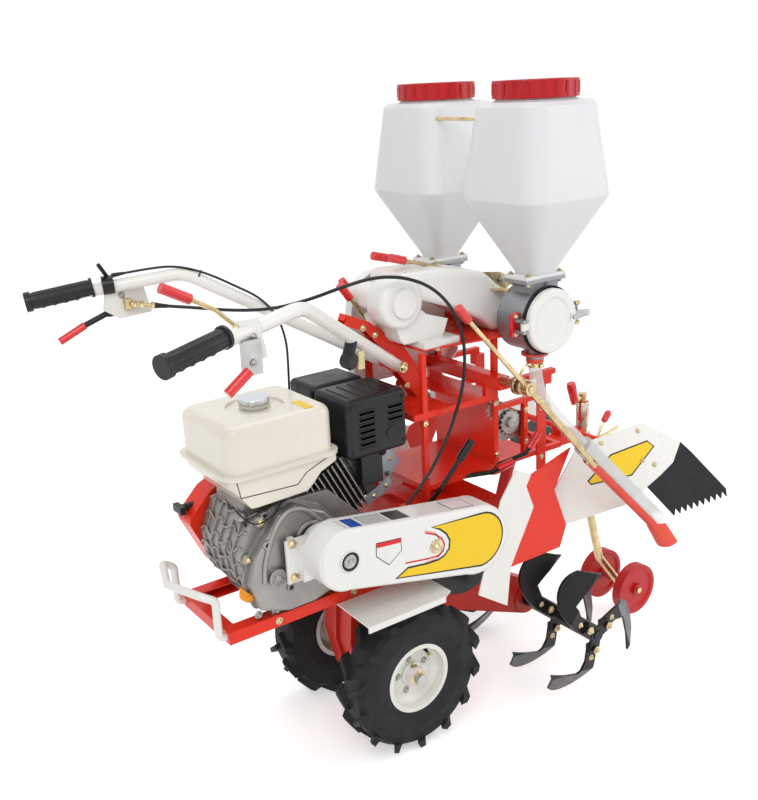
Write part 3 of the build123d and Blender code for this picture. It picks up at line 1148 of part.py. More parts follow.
CLUTCH_ROUTE = (
    (-326, 250, 811), (-256, 225, 799), (-192, 160, 791), (-148, 75, 800), (-112, -10, 826), (-60, -60, 852),
    (-5, -88, 866), (52, -108, 860), (105, -125, 836), (148, -134, 792), (176, -136, 732), (184, -134, 672),
    (177, -132, 606), (152, -130, 540), (112, -130, 473), (64, -130, 420), (18, -130, 384))
THROTTLE_ROUTE = (
    (-398, 277, 881), (-340, 259, 887), (-278, 238, 889), (-222, 211, 869), (-170, 180, 836), (-134, 152, 812),
    (-112, 122, 775), (-104, 104, 722), (-107, 100, 662), (-109, 101, 602), (-110, 104, 544), (-110, 104, 486))
CLUTCH_RADIUS = 3.5
THROTTLE_RADIUS = 2.5


def build_levers():
    rods = []
    black = []
    knobs = []
    for lever in LEVERS:
        foot, knee, tip = (lever_place(shares) for shares in (lever.foot_shares, lever.knee_shares, lever.tip_shares))
        neck = tip - (tip - knee).normalized() * lever.knob_long
        stem = rod(tuple(foot), tuple(knee), lever.thick) + rod(tuple(knee), tuple(neck), lever.thick)
        stem += Pos(*tuple(knee)) * Sphere(lever.thick)
        for seat in ("box_frame", "deck", "handle_bracket", "air_duct", "blower_housing"):
            stem = stem - pieces[seat]
        (black if lever.black_rod else rods).append(main_solid(stem))
        knob = rod(tuple(neck), tuple(tip), lever.knob_thick) - pieces["box_frame"]
        (black if lever.black_knob else knobs).append(knob)
    # Left handle: clutch lever with a red end, cable adjuster on its lug, and throttle clamp
    lever_radius = 6
    body_x, body_z, body_deep = (-415, -368), (796, 826), 12
    plate_face = PLATE_Y + SHEET * 2
    clutch = block(body_x, (plate_face, plate_face + body_deep), body_z)
    clutch_root, clutch_knee, clutch_tip = (-405, 290, 806), (-460, 300, 784), (-513, 310, 757)
    clutch += rod(clutch_root, clutch_knee, lever_radius) - pieces["handlebars"]
    black.append(main_solid(clutch))
    knobs.append(rod(clutch_knee, clutch_tip, lever_radius * 1.3) - clutch)
    adjuster_long = 48
    adjuster = 5
    start, onward = Vector(*CLUTCH_ROUTE[0]), Vector(*CLUTCH_ROUTE[1])
    back = start - (onward - start).normalized() * adjuster_long
    lug_x, lug_z = (-382, -368), (808, 830)
    rods.append(rod(tuple(back), tuple(start), adjuster) + block(lug_x, (PLATE_Y, PLATE_Y - body_deep), lug_z))
    collar = 19
    collar_ends = ((-420, 283, 862), (-398, 276, 863.3))
    throttle = rod(*collar_ends, collar) - pieces["handlebars"]
    thumb = ((-409, 279, 880), (-428, 268, 908))
    throttle += rod(*thumb, lever_radius * 0.7) - pieces["handlebars"]
    black.append(main_solid(throttle - pieces["handle_grips"]))
    # Stop switch under the right-hand tube
    switch = rod((-100, -140, 772), (-112, -140, 736), lever_radius * 2) - pieces["handlebars"]
    black.append(main_solid(switch))
    # Right handle: bent rod with a knob, grey bracket and turn lever
    bent = [(-464, -230, 917), (-427, -240, 895), (-402, -253, 868), (-398, -PLATE_Y + adjuster, 836), (-398, -PLATE_Y, 830)]
    hook = bent_rod(bent[:4], THROTTLE_RADIUS * 1.6, 12)
    rods.append(main_solid(hook - pieces["handlebars"]))
    knobs.append(rod((-512, -230, 943), bent[0], lever_radius * 1.5) - hook)
    bracket_x, bracket_z, bracket_deep = (-412, -380), (792, 850), 14
    fold = block(bracket_x, (-plate_face, -plate_face - bracket_deep), bracket_z)
    fold -= block((bracket_x[0] + SHEET, bracket_x[1] + OVERRUN), (-plate_face - SHEET, -plate_face - bracket_deep + SHEET),
                  (bracket_z[0] - OVERRUN, bracket_z[1] - SHEET))
    pieces["right_control_bracket"] = fold - pieces["handlebars"] - pieces["handle_grips"]
    turn_foot, turn_tip = (-408, -plate_face - bracket_deep - adjuster, 802), (-450, -plate_face - bracket_deep - adjuster, 772)
    knobs.append(main_solid(rod(turn_foot, turn_tip, lever_radius * 1.5) - pieces["right_control_bracket"]))
    # Tie rod between the two hoppers, with its eyes
    tie_x, tie_z = 285, 1148
    tie_half = 72
    tie = disc_y(tie_x, tie_z, THROTTLE_RADIUS * 1.5, (-tie_half, tie_half)) - pieces["right_hopper"] - pieces["left_hopper"]
    rods.append(main_solid(tie))
    pieces["black_levers"] = Compound(black)
    pieces["lever_rods"] = Compound(rods)
    pieces["lever_knobs"] = Compound(knobs)


# Clutch cable over the blower to the belt tensioner, and throttle cable along the left tube to the engine
def arc_radii(route):
    run_share = 0.45
    radii = []
    for before, point, after in zip(route, route[1:], route[2:]):
        run_in, run_out = Vector(*point) - Vector(*before), Vector(*after) - Vector(*point)
        turn = radians(run_in.get_angle(run_out))
        radii.append(run_share * min(run_in.length, run_out.length) / tan(turn / 2))
    return radii


def cord(route, radius):
    radii = arc_radii(route)
    path = FilletPolyline(*route, radius=radii)
    tube = sweep(Plane(origin=path @ 0, z_dir=path % 0) * Circle(radius), path=path)
    print("cord radii", [round(value) for value in radii])
    print("cord volume over section times length", round(tube.volume / (pi * radius ** 2 * path.length), 4))
    return tube


def build_cables():
    pieces["gear_cable"] = cord(CLUTCH_ROUTE, CLUTCH_RADIUS)
    pieces["throttle_cable"] = cord(THROTTLE_ROUTE, THROTTLE_RADIUS)
    # Lug on the gear case that takes the clutch cable's end, and a lug on the shroud for the throttle cable's end
    lug_wide = 14
    x, y, z = CLUTCH_ROUTE[-1]
    lug = block((x - lug_wide, x + lug_wide / 2), (y - lug_wide / 2, -CASE_HALF), (CASE_TOP - lug_wide * 2, CASE_TOP - lug_wide))
    lug += block((x - lug_wide, x + lug_wide / 2), (y - lug_wide / 2, y + lug_wide / 2), (CASE_TOP - lug_wide * 2, z + lug_wide / 4))
    for other in ("gear_cable", "engine_crankcase", "engine_cylinder", "belt_cover_mount", "driven_pulley", "main_frame"):
        lug = lug - pieces[other]
    pieces["gearbox_case"] = main_solid(pieces["gearbox_case"] + lug)
    x, y, z = THROTTLE_ROUTE[-1]
    post = block((x - lug_wide / 2, x + lug_wide / 2), (y - lug_wide / 2, y + lug_wide / 2), (z - lug_wide * 3, z))
    for other in ("engine_cylinder", "engine_crankcase", "air_cleaner", "fuel_tank"):
        post = post - pieces[other]
    pieces["fan_shroud"] = main_solid(pieces["fan_shroud"] + post)


builders = (build_wheels, build_transmission, build_rotor, build_frame, build_box_frame, build_engine,
            build_belt_cover, build_bumper, build_fenders, build_handles, build_handle_bracket, build_blower,
            build_hoppers, build_gauge, build_guards, build_wings, build_seed_tubes, build_levers, build_cables)
for builder in builders:
    builder()

PAIRS = ("fender", "red_shield", "white_shield", "wing", "skirt", "seed_tube", "seed_spout", "tube_arm",
         "tube_knob", "metering_drum")
for kind in PAIRS:
    pieces[f"{kind}s"] = Compound([pieces.pop(f"{name}_{kind}") for name, side in SIDES])

# Stored as it parks, with the origin on the floor below the middle of its bounding box
CORDS = ("gear_cable", "throttle_cable", "right_seed_hose", "left_seed_hose")
parked = {name: PARK * piece for name, piece in pieces.items()}
boxes = [piece.bounding_box() for name, piece in parked.items() if name not in CORDS]
low = [min(getattr(box.min, axis) for box in boxes) for axis in "XYZ"]
high = [max(getattr(box.max, axis) for box in boxes) for axis in "XYZ"]
STORE = Pos(-(low[0] + high[0]) / 2, -(low[1] + high[1]) / 2, -low[2]) * PARK
for name, piece in pieces.items():
    stored = STORE * piece
    stored.label = name
    export_step(stored, f"parts/{name}.step")
print("park tilt", round(PARK_TILT, 3), "size", *(round(b - a, 1) for a, b in zip(low, high)))
print("shift", *(round(value, 3) for value in STORE.position))

PLACES = {
    "wheel_axle": (0, 0, 0),
    "stub": (0, HALF_TRACK + HUB_REACH + STUB_LONG / 2, 0),
    "rotor": (ROTOR_X, 0, ROTOR_Z),
    "gauge": (GAUGE_X, 0, GAUGE_Z),
    "mast": (MAST_X, 0, SLEEVE_LOW),
    "hopper": (HOPPER_X, HOPPER_Y, HOPPER_BASE),
    "lid": (HOPPER_X, HOPPER_Y, HOPPER_BASE + SHOULDER_HIGH + COLLAR_HIGH),
    "cover_hinge": (HOPPER_X - HINGE_REACH, HOPPER_Y + HINGE_Y, DRUM_Z),
}
for name, place in PLACES.items():
    spot = (STORE * Location(place)).position
    print("place", name, *(round(value, 3) for value in spot))
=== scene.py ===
import bpy
import json
from math import cos, pi, radians, sin
from mathutils import Matrix, Vector
from mathutils.bvhtree import BVHTree


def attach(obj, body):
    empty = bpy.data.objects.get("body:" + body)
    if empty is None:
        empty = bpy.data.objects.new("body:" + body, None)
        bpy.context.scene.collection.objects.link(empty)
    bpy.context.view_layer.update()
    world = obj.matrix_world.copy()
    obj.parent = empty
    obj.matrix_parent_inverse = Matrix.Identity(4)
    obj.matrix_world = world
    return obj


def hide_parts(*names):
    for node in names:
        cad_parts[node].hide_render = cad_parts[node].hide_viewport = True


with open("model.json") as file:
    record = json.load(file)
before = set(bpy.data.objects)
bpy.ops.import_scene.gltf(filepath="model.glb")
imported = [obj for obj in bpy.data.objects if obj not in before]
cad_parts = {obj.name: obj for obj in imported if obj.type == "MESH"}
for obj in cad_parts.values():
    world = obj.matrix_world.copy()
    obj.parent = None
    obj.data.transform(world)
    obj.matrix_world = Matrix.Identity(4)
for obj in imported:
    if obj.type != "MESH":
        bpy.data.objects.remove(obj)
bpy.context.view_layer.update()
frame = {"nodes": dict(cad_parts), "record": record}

# Lengths are millimetres in the machine's own frame: origin in the middle of the wheel axle,
# +X toward the tines, +Y to the operator's left, +Z up.
# Parked, the machine leans back by TILT and its axle stands at SHIFT.
MM = 0.001
PARK_DEGREES = 3.568
TILT = radians(PARK_DEGREES)
SHIFT = Vector((-0.141535, 0.0, 0.171531))
SIDES = (("right", -1), ("left", 1))
AHEAD = Vector((1, 0, 0))
LEFT = Vector((0, 1, 0))
UP = Vector((0, 0, 1))


def turned(v):
    return Vector((v[0] * cos(TILT) - v[2] * sin(TILT), v[1], v[0] * sin(TILT) + v[2] * cos(TILT)))


def placed(v):
    return turned(v) * MM + SHIFT


# Camera solved from the photograph
CAMERA_RIGHT = (0.8107, -0.5837, -0.0454)
CAMERA_UP = (0.2143, 0.2236, 0.9508)
CAMERA_AHEAD = (0.5449, 0.7806, -0.3063)
CAMERA_PLACE = (-1122, -1683, 1239)
CAMERA_LENS = 45.115
CAMERA_SENSOR = 36.0
CAMERA_REACH = 60.0


def add_camera():
    data = bpy.data.cameras.new("camera")
    data.lens = CAMERA_LENS
    data.sensor_width = CAMERA_SENSOR
    data.clip_end = CAMERA_REACH
    camera = bpy.data.objects.new("camera", data)
    bpy.context.scene.collection.objects.link(camera)
    rows = Matrix((turned(CAMERA_RIGHT), turned(CAMERA_UP), -turned(CAMERA_AHEAD))).transposed()
    camera.matrix_world = Matrix.Translation(placed(CAMERA_PLACE)) @ rows.to_4x4()
    bpy.context.scene.camera = camera


# Procedural materials
class Shade:
    """A node material with one principled shader and short calls that add and join nodes."""

    def __init__(self, name):
        self.material = bpy.data.materials.new(name)
        self.material.use_nodes = True
        self.tree = self.material.node_tree
        self.shader = self.tree.nodes["Principled BSDF"]
        self.places = self.node("ShaderNodeTexCoord").outputs["Object"]

    def node(self, kind, **values):
        made = self.tree.nodes.new(kind)
        for key, value in values.items():
            setattr(made, key, value)
        return made

    def link(self, output, socket):
        self.tree.links.new(output, socket)

    def noise(self, scale, detail=3.0, roughness=0.55, stretch=None):
        texture = self.node("ShaderNodeTexNoise")
        texture.inputs["Scale"].default_value = scale
        texture.inputs["Detail"].default_value = detail
        texture.inputs["Roughness"].default_value = roughness
        if stretch:
            mapping = self.node("ShaderNodeMapping")
            mapping.inputs["Scale"].default_value = stretch
            self.link(self.places, mapping.inputs["Vector"])
            self.link(mapping.outputs["Vector"], texture.inputs["Vector"])
        else:
            self.link(self.places, texture.inputs["Vector"])
        return texture.outputs["Fac"]

    def ranged(self, value, low, high, to_low, to_high):
        node = self.node("ShaderNodeMapRange")
        node.inputs["From Min"].default_value = low
        node.inputs["From Max"].default_value = high
        node.inputs["To Min"].default_value = to_low
        node.inputs["To Max"].default_value = to_high
        self.link(value, node.inputs["Value"])
        return node.outputs["Result"]

    def math(self, operation, first, second=None):
        node = self.node("ShaderNodeMath", operation=operation)
        for socket, value in zip(node.inputs, (first, second)):
            if value is None:
                continue
            if isinstance(value, (int, float)):
                socket.default_value = value
            else:
                self.link(value, socket)
        return node.outputs["Value"]

    def blend(self, factor, first, second):
        node = self.node("ShaderNodeMix", data_type="RGBA")
        self.link(factor, node.inputs["Factor"])
        for socket, value in ((node.inputs[6], first), (node.inputs[7], second)):
            if isinstance(value, (tuple, list)):
                socket.default_value = (*value, 1)
            else:
                self.link(value, socket)
        return node.outputs[2]


# Unit vectors all the way round, between two directions at right angles
def spokes(count, across, other, start=0.0):
    turns = [start + 2 * pi * index / count for index in range(count)]
    return [across * cos(turn) + other * sin(turn) for turn in turns]


def scaled(color, share):
    return tuple(min(1.0, channel * share) for channel in color)


NOISE_BAND = (0.3, 0.7)
SPECKLE_BAND = (0.35, 0.65)
CHIP_BAND = (0.42, 0.6)
OCCLUSION_BAND = (0.25, 0.85)
EDGE_BAND = (0.995, 0.86)
COAT_ROUGH = 0.12


def surface(name, color, metallic=0.0, rough=0.4, vary=0.06, patch=9.0, grain=900.0, relief=0.04, wear=0.0,
            wear_color=(0.6, 0.6, 0.6), grime_and_shade=0.0, grime_and_shade_color=(0.05, 0.04, 0.03), edge=1.2, coat=0.0,
            lumps=0.0,
            lump_scale=60.0, rough_vary=0.08, alpha=1.0, subsurface=0.0, specular=0.5, height=None):
    shade = Shade(name)
    shader = shade.shader
    shader.inputs["Metallic"].default_value = metallic
    shader.inputs["Coat Weight"].default_value = coat
    shader.inputs["Specular IOR Level"].default_value = specular
    shader.inputs["Coat Roughness"].default_value = COAT_ROUGH
    if subsurface:
        shader.inputs["Subsurface Weight"].default_value = subsurface
        shader.inputs["Subsurface Radius"].default_value = (1.0, 0.9, 0.75)
        shader.inputs["Subsurface Scale"].default_value = 0.02
    broad = shade.ranged(shade.noise(patch), *NOISE_BAND, 0.0, 1.0)
    tint = shade.blend(broad, scaled(color, 1 - vary), scaled(color, 1 + vary))
    bevel = shade.node("ShaderNodeBevel", samples=4)
    bevel.inputs["Radius"].default_value = edge * MM
    # Ambient occlusion mixes a recess colour into hollows, broken up by speckle: partly grime, partly
    # painted shade in the recesses
    if grime_and_shade:
        occlusion = shade.node("ShaderNodeAmbientOcclusion", samples=6)
        occlusion.inputs["Distance"].default_value = 0.03
        recess_grime_and_shade = shade.ranged(occlusion.outputs["AO"], *OCCLUSION_BAND, grime_and_shade, 0.0)
        speckle = shade.ranged(shade.noise(45.0, 5.0), *SPECKLE_BAND, 0.55, 1.0)
        tint = shade.blend(shade.math("MULTIPLY", recess_grime_and_shade, speckle), tint, grime_and_shade_color)
    if wear:
        geometry = shade.node("ShaderNodeNewGeometry")
        turn = shade.node("ShaderNodeVectorMath", operation="DOT_PRODUCT")
        shade.link(bevel.outputs["Normal"], turn.inputs[0])
        shade.link(geometry.outputs["Normal"], turn.inputs[1])
        sharp = shade.ranged(turn.outputs["Value"], *EDGE_BAND, 0.0, 1.0)
        chips = shade.ranged(shade.noise(130.0, 4.0), *CHIP_BAND, 0.0, wear)
        tint = shade.blend(shade.math("MULTIPLY", sharp, chips), tint, wear_color)
    shade.link(tint, shader.inputs["Base Color"])
    smoothest, roughest = max(rough - rough_vary, 0.03), min(rough + rough_vary, 1.0)
    gloss = shade.ranged(shade.noise(patch * 3), *NOISE_BAND, smoothest, roughest)
    shade.link(gloss, shader.inputs["Roughness"])
    bump = shade.node("ShaderNodeBump")
    bump.inputs["Strength"].default_value = 0.5
    bump.inputs["Distance"].default_value = relief * MM
    shade.link(shade.noise(grain, 2.0), bump.inputs["Height"])
    shade.link(bevel.outputs["Normal"], bump.inputs["Normal"])
    top = bump
    if lumps:
        swell = shade.node("ShaderNodeBump")
        swell.inputs["Strength"].default_value = 0.7
        swell.inputs["Distance"].default_value = lumps * MM
        shade.link(shade.noise(lump_scale, 2.0), swell.inputs["Height"])
        shade.link(top.outputs["Normal"], swell.inputs["Normal"])
        top = swell
    if height:
        form = shade.node("ShaderNodeBump")
        form.inputs["Strength"].default_value = 0.8
        form.inputs["Distance"].default_value = height[0] * MM
        shade.link(height[1](shade), form.inputs["Height"])
        shade.link(top.outputs["Normal"], form.inputs["Normal"])
        top = form
    shade.link(top.outputs["Normal"], shader.inputs["Normal"])
    if alpha < 1:
        shader.inputs["Alpha"].default_value = alpha
    return shade.material


# Rings on a tyre's wall and fine cross marks on its tread, about the wheel axle
def tyre_rings(shade):
    offset = shade.node("ShaderNodeVectorMath", operation="SUBTRACT")
    offset.inputs[1].default_value = tuple(placed((0, 0, 0)))
    shade.link(shade.places, offset.inputs[0])
    flat = shade.node("ShaderNodeVectorMath", operation="MULTIPLY")
    flat.inputs[1].default_value = (1, 0, 1)
    shade.link(offset.outputs["Vector"], flat.inputs[0])
    size = shade.node("ShaderNodeVectorMath", operation="LENGTH")
    shade.link(flat.outputs["Vector"], size.inputs[0])
    ripple_pitch = 9.0 * MM
    wave = shade.math("SINE", shade.math("MULTIPLY", size.outputs["Value"], 2 * pi / ripple_pitch))
    return shade.math("POWER", shade.ranged(wave, -1.0, 1.0, 0.0, 1.0), 6.0)


WHITE_PAINT = (0.80, 0.79, 0.74)
RED_PAINT = (0.80, 0.028, 0.008)
GOLD = (0.62, 0.49, 0.27)
# The recess amounts and colours in these finishes paint shade into hollows together with grime, darkest on
# the engine fins and castings
FINISHES = {
    "tyre": dict(color=(0.016, 0.016, 0.017), rough=0.62, vary=0.25, patch=14, grain=420, relief=0.25,
                 grime_and_shade=0.35,
                 grime_and_shade_color=(0.03, 0.028, 0.025), edge=2.5, specular=0.25, height=(0.9, tyre_rings)),
    "rim_white": dict(color=WHITE_PAINT, rough=0.3, vary=0.03, grime_and_shade=0.35, grime_and_shade_color=(0.3, 0.26, 0.2),
                      wear=0.3,
                      wear_color=(0.4, 0.38, 0.34), coat=0.3, lumps=0.05),
    "steel": dict(color=(0.46, 0.46, 0.46), metallic=1.0, rough=0.32, vary=0.12, grime_and_shade=0.3, relief=0.05),
    "casting_red": dict(color=(0.62, 0.026, 0.012), rough=0.4, vary=0.1, grime_and_shade=0.5,
                        grime_and_shade_color=(0.09, 0.01, 0.006),
                        lumps=0.35, lump_scale=260, edge=2.5, specular=0.35),
    "red_paint": dict(color=RED_PAINT, rough=0.27, vary=0.05, grime_and_shade=0.4, grime_and_shade_color=(0.16, 0.008, 0.004),
                      wear=0.25,
                      wear_color=(0.95, 0.25, 0.16), specular=0.3, lumps=0.05, rough_vary=0.04, edge=1.3),
    "black_paint": dict(color=(0.012, 0.012, 0.013), rough=0.3, vary=0.3, wear=0.35,
                        wear_color=(0.10, 0.10, 0.10),
                        grime_and_shade=0.2, lumps=0.15, specular=0.3),
    "fin_alloy": dict(color=(0.10, 0.097, 0.092), metallic=0.6, rough=0.4, vary=0.2, wear=1.0,
                      wear_color=(0.80, 0.78, 0.74), grime_and_shade=0.7, grime_and_shade_color=(0.008, 0.008, 0.008), edge=1.5,
                      lumps=0.2),
    "engine_alloy": dict(color=(0.33, 0.32, 0.30), metallic=0.7, rough=0.42, vary=0.14, grime_and_shade=0.75,
                         grime_and_shade_color=(0.07, 0.065, 0.06), lumps=0.4, lump_scale=320, edge=3.0, wear=0.5,
                         wear_color=(0.62, 0.61, 0.59)),
    "tank_ivory": dict(color=(0.82, 0.775, 0.665), rough=0.3, vary=0.01, coat=0.4, lumps=0.0, relief=0.01,
                       rough_vary=0.03, edge=3.0),
    "chrome_cap": dict(color=(0.66, 0.69, 0.74), metallic=1.0, rough=0.14, vary=0.08, rough_vary=0.05,
                       edge=2.0),
    "black_plastic": dict(color=(0.016, 0.016, 0.017), rough=0.38, vary=0.2, relief=0.1, wear=0.4,
                          wear_color=(0.09, 0.09, 0.09), edge=2.0, specular=0.3),
    "orange_plastic": dict(color=(0.93, 0.36, 0.008), rough=0.32, vary=0.06, edge=2.5, coat=0.2),
    "white_plastic": dict(color=(0.84, 0.835, 0.805), rough=0.3, vary=0.008, coat=0.25, lumps=0.01,
                          rough_vary=0.03, edge=3.0, grime_and_shade=0.2,
                          grime_and_shade_color=(0.45, 0.40, 0.34)),
    "white_paint": dict(color=(0.83, 0.82, 0.775), rough=0.28, vary=0.012, coat=0.25, grime_and_shade=0.25, lumps=0.02,
                        rough_vary=0.04,
                        grime_and_shade_color=(0.38, 0.33, 0.27), wear=0.2, wear_color=(0.5, 0.48, 0.44), edge=1.6),
    "grip_rubber": dict(color=(0.009, 0.010, 0.012), rough=0.42, vary=0.2, relief=0.2, edge=2.5,
                        specular=0.35),
    "skirt_rubber": dict(color=(0.010, 0.011, 0.012), rough=0.55, vary=0.25, relief=0.35, grain=300,
                         specular=0.25),
    "drum_alloy": dict(color=(0.33, 0.34, 0.36), metallic=0.8, rough=0.45, vary=0.12, grime_and_shade=0.5, lumps=0.5,
                       lump_scale=240, grime_and_shade_color=(0.08, 0.08, 0.085), edge=3.0),
    "hopper_white": dict(color=(0.90, 0.90, 0.885), rough=0.42, vary=0.015, lumps=0.12, lump_scale=25,
                         edge=6.0,
                         subsurface=0.5),
    "lid_red": dict(color=(0.50, 0.008, 0.014), specular=0.35, rough=0.3, vary=0.08, relief=0.08, edge=2.0,
                    subsurface=0.1,
                    wear=0.2, wear_color=(0.8, 0.10, 0.10)),
    "zinc_gold": dict(color=GOLD, metallic=1.0, rough=0.3, vary=0.18, patch=40, relief=0.05, grime_and_shade=0.3,
                      grime_and_shade_color=(0.10, 0.07, 0.03)),
    "wheel_red": dict(color=(0.56, 0.012, 0.014), specular=0.35, rough=0.36, vary=0.1, grime_and_shade=0.4,
                      grime_and_shade_color=(0.10, 0.008, 0.006),
                      edge=2.5, lumps=0.15),
    "knob_red": dict(color=(0.74, 0.014, 0.02), rough=0.24, vary=0.05, edge=5.0, coat=0.4),
    "spout_red": dict(color=(0.86, 0.075, 0.04), rough=0.36, vary=0.06, edge=2.5, subsurface=0.15),
    "clear_tube": dict(color=(0.84, 0.86, 0.85), rough=0.1, vary=0.04, edge=1.5, alpha=0.5, lumps=0.15,
                       rough_vary=0.05),
    "cable_black": dict(color=(0.009, 0.009, 0.010), rough=0.36, vary=0.2, relief=0.08, grain=500,
                        specular=0.35),
    "bracket_steel": dict(color=(0.50, 0.50, 0.49), metallic=1.0, rough=0.33, vary=0.15, patch=40, edge=1.5,
                          grime_and_shade=0.3),
    "fin_edge": dict(color=(0.66, 0.64, 0.60), metallic=0.8, rough=0.35, vary=0.2, patch=60, edge=0.4),
    "plate_blue": dict(color=(0.40, 0.47, 0.52), metallic=0.6, rough=0.4, vary=0.12, patch=60, grime_and_shade=0.4,
                       edge=1.5),
    "mast_chrome": dict(color=(0.70, 0.62, 0.52), metallic=1.0, rough=0.12, vary=0.1, rough_vary=0.04,
                        edge=1.5),
    "label_yellow": dict(color=(0.92, 0.60, 0.006), rough=0.3, vary=0.03, specular=0.35, edge=0.3),
    "label_black": dict(color=(0.010, 0.010, 0.012), rough=0.3, vary=0.1, specular=0.3, edge=0.3),
    "label_red": dict(color=(0.72, 0.014, 0.02), rough=0.28, vary=0.04, specular=0.35, edge=0.3),
    "label_blue": dict(color=(0.02, 0.09, 0.42), rough=0.28, vary=0.05, coat=0.3, edge=0.3),
    "label_grey": dict(color=(0.50, 0.50, 0.47), rough=0.4, vary=0.14, patch=160, edge=0.3),
    "label_white": dict(color=(0.83, 0.83, 0.81), rough=0.3, vary=0.03, edge=0.3),
    "screw_gold": dict(color=(0.60, 0.50, 0.30), metallic=1.0, rough=0.26, vary=0.25, patch=90, edge=0.8,
                       grime_and_shade=0.5),
    "screw_steel": dict(color=(0.40, 0.39, 0.37), metallic=1.0, rough=0.33, vary=0.2, patch=90, edge=0.8,
                        grime_and_shade=0.5),
    # Near-black finish for discs painted as the shade inside holes
    "hole_shade": dict(color=(0.010, 0.009, 0.009), rough=0.7, vary=0.2),
    "gasket": dict(color=(0.010, 0.011, 0.013), rough=0.5, vary=0.2, edge=1.2, specular=0.3),
}
MATERIALS = {}


def finish(name):
    if name not in MATERIALS:
        MATERIALS[name] = surface(name, **FINISHES[name])
    return MATERIALS[name]


# Nodes that differ from their slot's usual finish
OWN_FINISH = {"engine_cylinder": "fin_alloy"}


def finish_nodes():
    slots = {part["node"]: part["material_slot"] for part in frame["record"]["subparts"]}
    for node, obj in frame["nodes"].items():
        for slot in obj.material_slots:
            slot.material = finish(OWN_FINISH.get(node, slots[node]))


# Value at a share of the way along a row of values
def share_of(values, share):
    at = share * (len(values) - 1)
    low = min(int(at), len(values) - 2)
    return values[low] + (values[low + 1] - values[low]) * (at - low)


# Pieces drawn as meshes in machine millimetres, each with its slot, look and body. All are built at the end.
SHARP_ANGLE = radians(35)
GOLD_SCREW = ("zinc_gold", "screw_gold")
STEEL_SCREW = ("bracket_steel", "screw_steel")
PIECES = []


class Piece:
    def __init__(self, name, slot, look=None, body="chassis", replaces=()):
        self.name, self.body, self.slot, self.look = name, body, slot, look or slot
        self.stands_for = replaces
        self.points, self.faces = [], []
        PIECES.append(self)

    def add(self, points, faces):
        start = len(self.points)
        self.points.extend(points)
        self.faces.extend([tuple(start + index for index in face) for face in faces])

    def build(self):
        mesh = bpy.data.meshes.new(self.name)
        mesh.from_pydata([placed(point) for point in self.points], [], self.faces)
        mesh.validate()
        mesh.polygons.foreach_set("use_smooth", [True] * len(mesh.polygons))
        mesh.set_sharp_from_angle(angle=SHARP_ANGLE)
        mesh.materials.append(finish(self.look))
        obj = bpy.data.objects.new(self.name, mesh)
        bpy.context.scene.collection.objects.link(obj)
        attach(obj, self.body)
        if self.stands_for:
            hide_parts(*self.stands_for)

    # Skin over closed rings of as many points each, with both ends shut
    def loft(self, rings):
        sides = len(rings[0])
        faces = []
        for ring in range(len(rings) - 1):
            near, far = ring * sides, (ring + 1) * sides
            for index in range(sides):
                after = (index + 1) % sides
                faces.append((near + index, near + after, far + after, far + index))
        last = (len(rings) - 1) * sides
        faces.append(tuple(reversed(range(sides))))
        faces.append(tuple(range(last, last + sides)))
        self.add([point for ring in rings for point in ring], faces)

    # Turned shape from (radius, rise) pairs along an axis
    def turn(self, centre, axis, profile, sides=24):
        axis = Vector(axis).normalized()
        across = axis.orthogonal().normalized()
        round_axis = spokes(sides, across, axis.cross(across))
        self.loft([[Vector(centre) + axis * rise + spoke * radius for spoke in round_axis]
                   for radius, rise in profile])

    # Hexagon head on a washer
    def bolt(self, centre, axis, half=6.0):
        self.turn(centre, axis, ((half * 1.45, -0.4), (half * 1.45, half * 0.22), (half * 1.2, half * 0.3)),
                  20)
        self.turn(centre, axis, ((half, 0), (half, half * 0.72), (half * 0.82, half * 0.9)), 6)
        self.turn(centre, axis, ((half * 0.5, half * 0.5), (half * 0.5, half * 1.15),
                                 (half * 0.38, half * 1.3)), 12)

    # Flat plate between an outline and its copy moved along a vector
    def slab(self, outline, deep):
        deep = Vector(deep)
        count = len(outline)
        points = [Vector(point) for point in outline] + [Vector(point) + deep for point in outline]
        faces = [tuple(reversed(range(count))), tuple(range(count, count * 2))]
        for index in range(count):
            after = (index + 1) % count
            faces.append((index, after, count + after, count + index))
        self.add(points, faces)

    # Round bar along a line of points, as thick as its radius or row of radii
    def tube(self, points, radius, sides=12):
        points = [Vector(point) for point in points]
        first = (points[1] - points[0]).normalized()
        across = first.cross(UP) if abs(first.dot(UP)) < 0.95 else first.cross(AHEAD)
        across.normalize()
        rings = []
        for index, point in enumerate(points):
            before = points[max(index - 1, 0)]
            after = points[min(index + 1, len(points) - 1)]
            along = (after - before).normalized()
            across = (across - along * across.dot(along)).normalized()
            size = share_of(radius, index / (len(points) - 1)) if isinstance(radius, list) else radius
            rings.append([point + spoke * size for spoke in spokes(sides, across, along.cross(across))])
        self.loft(rings)


# Places where rays meet a node's surface, in machine millimetres
class Skin:
    def __init__(self, node):
        obj = frame["nodes"][node]
        points = [obj.matrix_world @ vertex.co for vertex in obj.data.vertices]
        self.tree = BVHTree.FromPolygons(points, [tuple(face.vertices) for face in obj.data.polygons])

    def meet(self, point, way, lift=0.0):
        spot, normal = self.tree.ray_cast(placed(point), turned(way))[:2]
        if spot is None:
            return None
        x, y, z = (spot + normal * lift * MM - SHIFT) / MM
        return Vector((x * cos(TILT) + z * sin(TILT), y, z * cos(TILT) - x * sin(TILT)))


def eased(points, rounds=3):
    line = [Vector(point) for point in points]
    for _ in range(rounds):
        smooth = [line[0]]
        for a, b in zip(line, line[1:]):
            smooth += [a.lerp(b, 0.25), a.lerp(b, 0.75)]
        line = smooth + [line[-1]]
    return line


def mirrored(side, point):
    return (point[0], side * point[1], point[2])


def arc(centre, radius, start, end, count):
    turns = [radians(start + (end - start) * index / count) for index in range(count + 1)]
    return [(centre[0] + radius * cos(turn), centre[1] + radius * sin(turn)) for turn in turns]


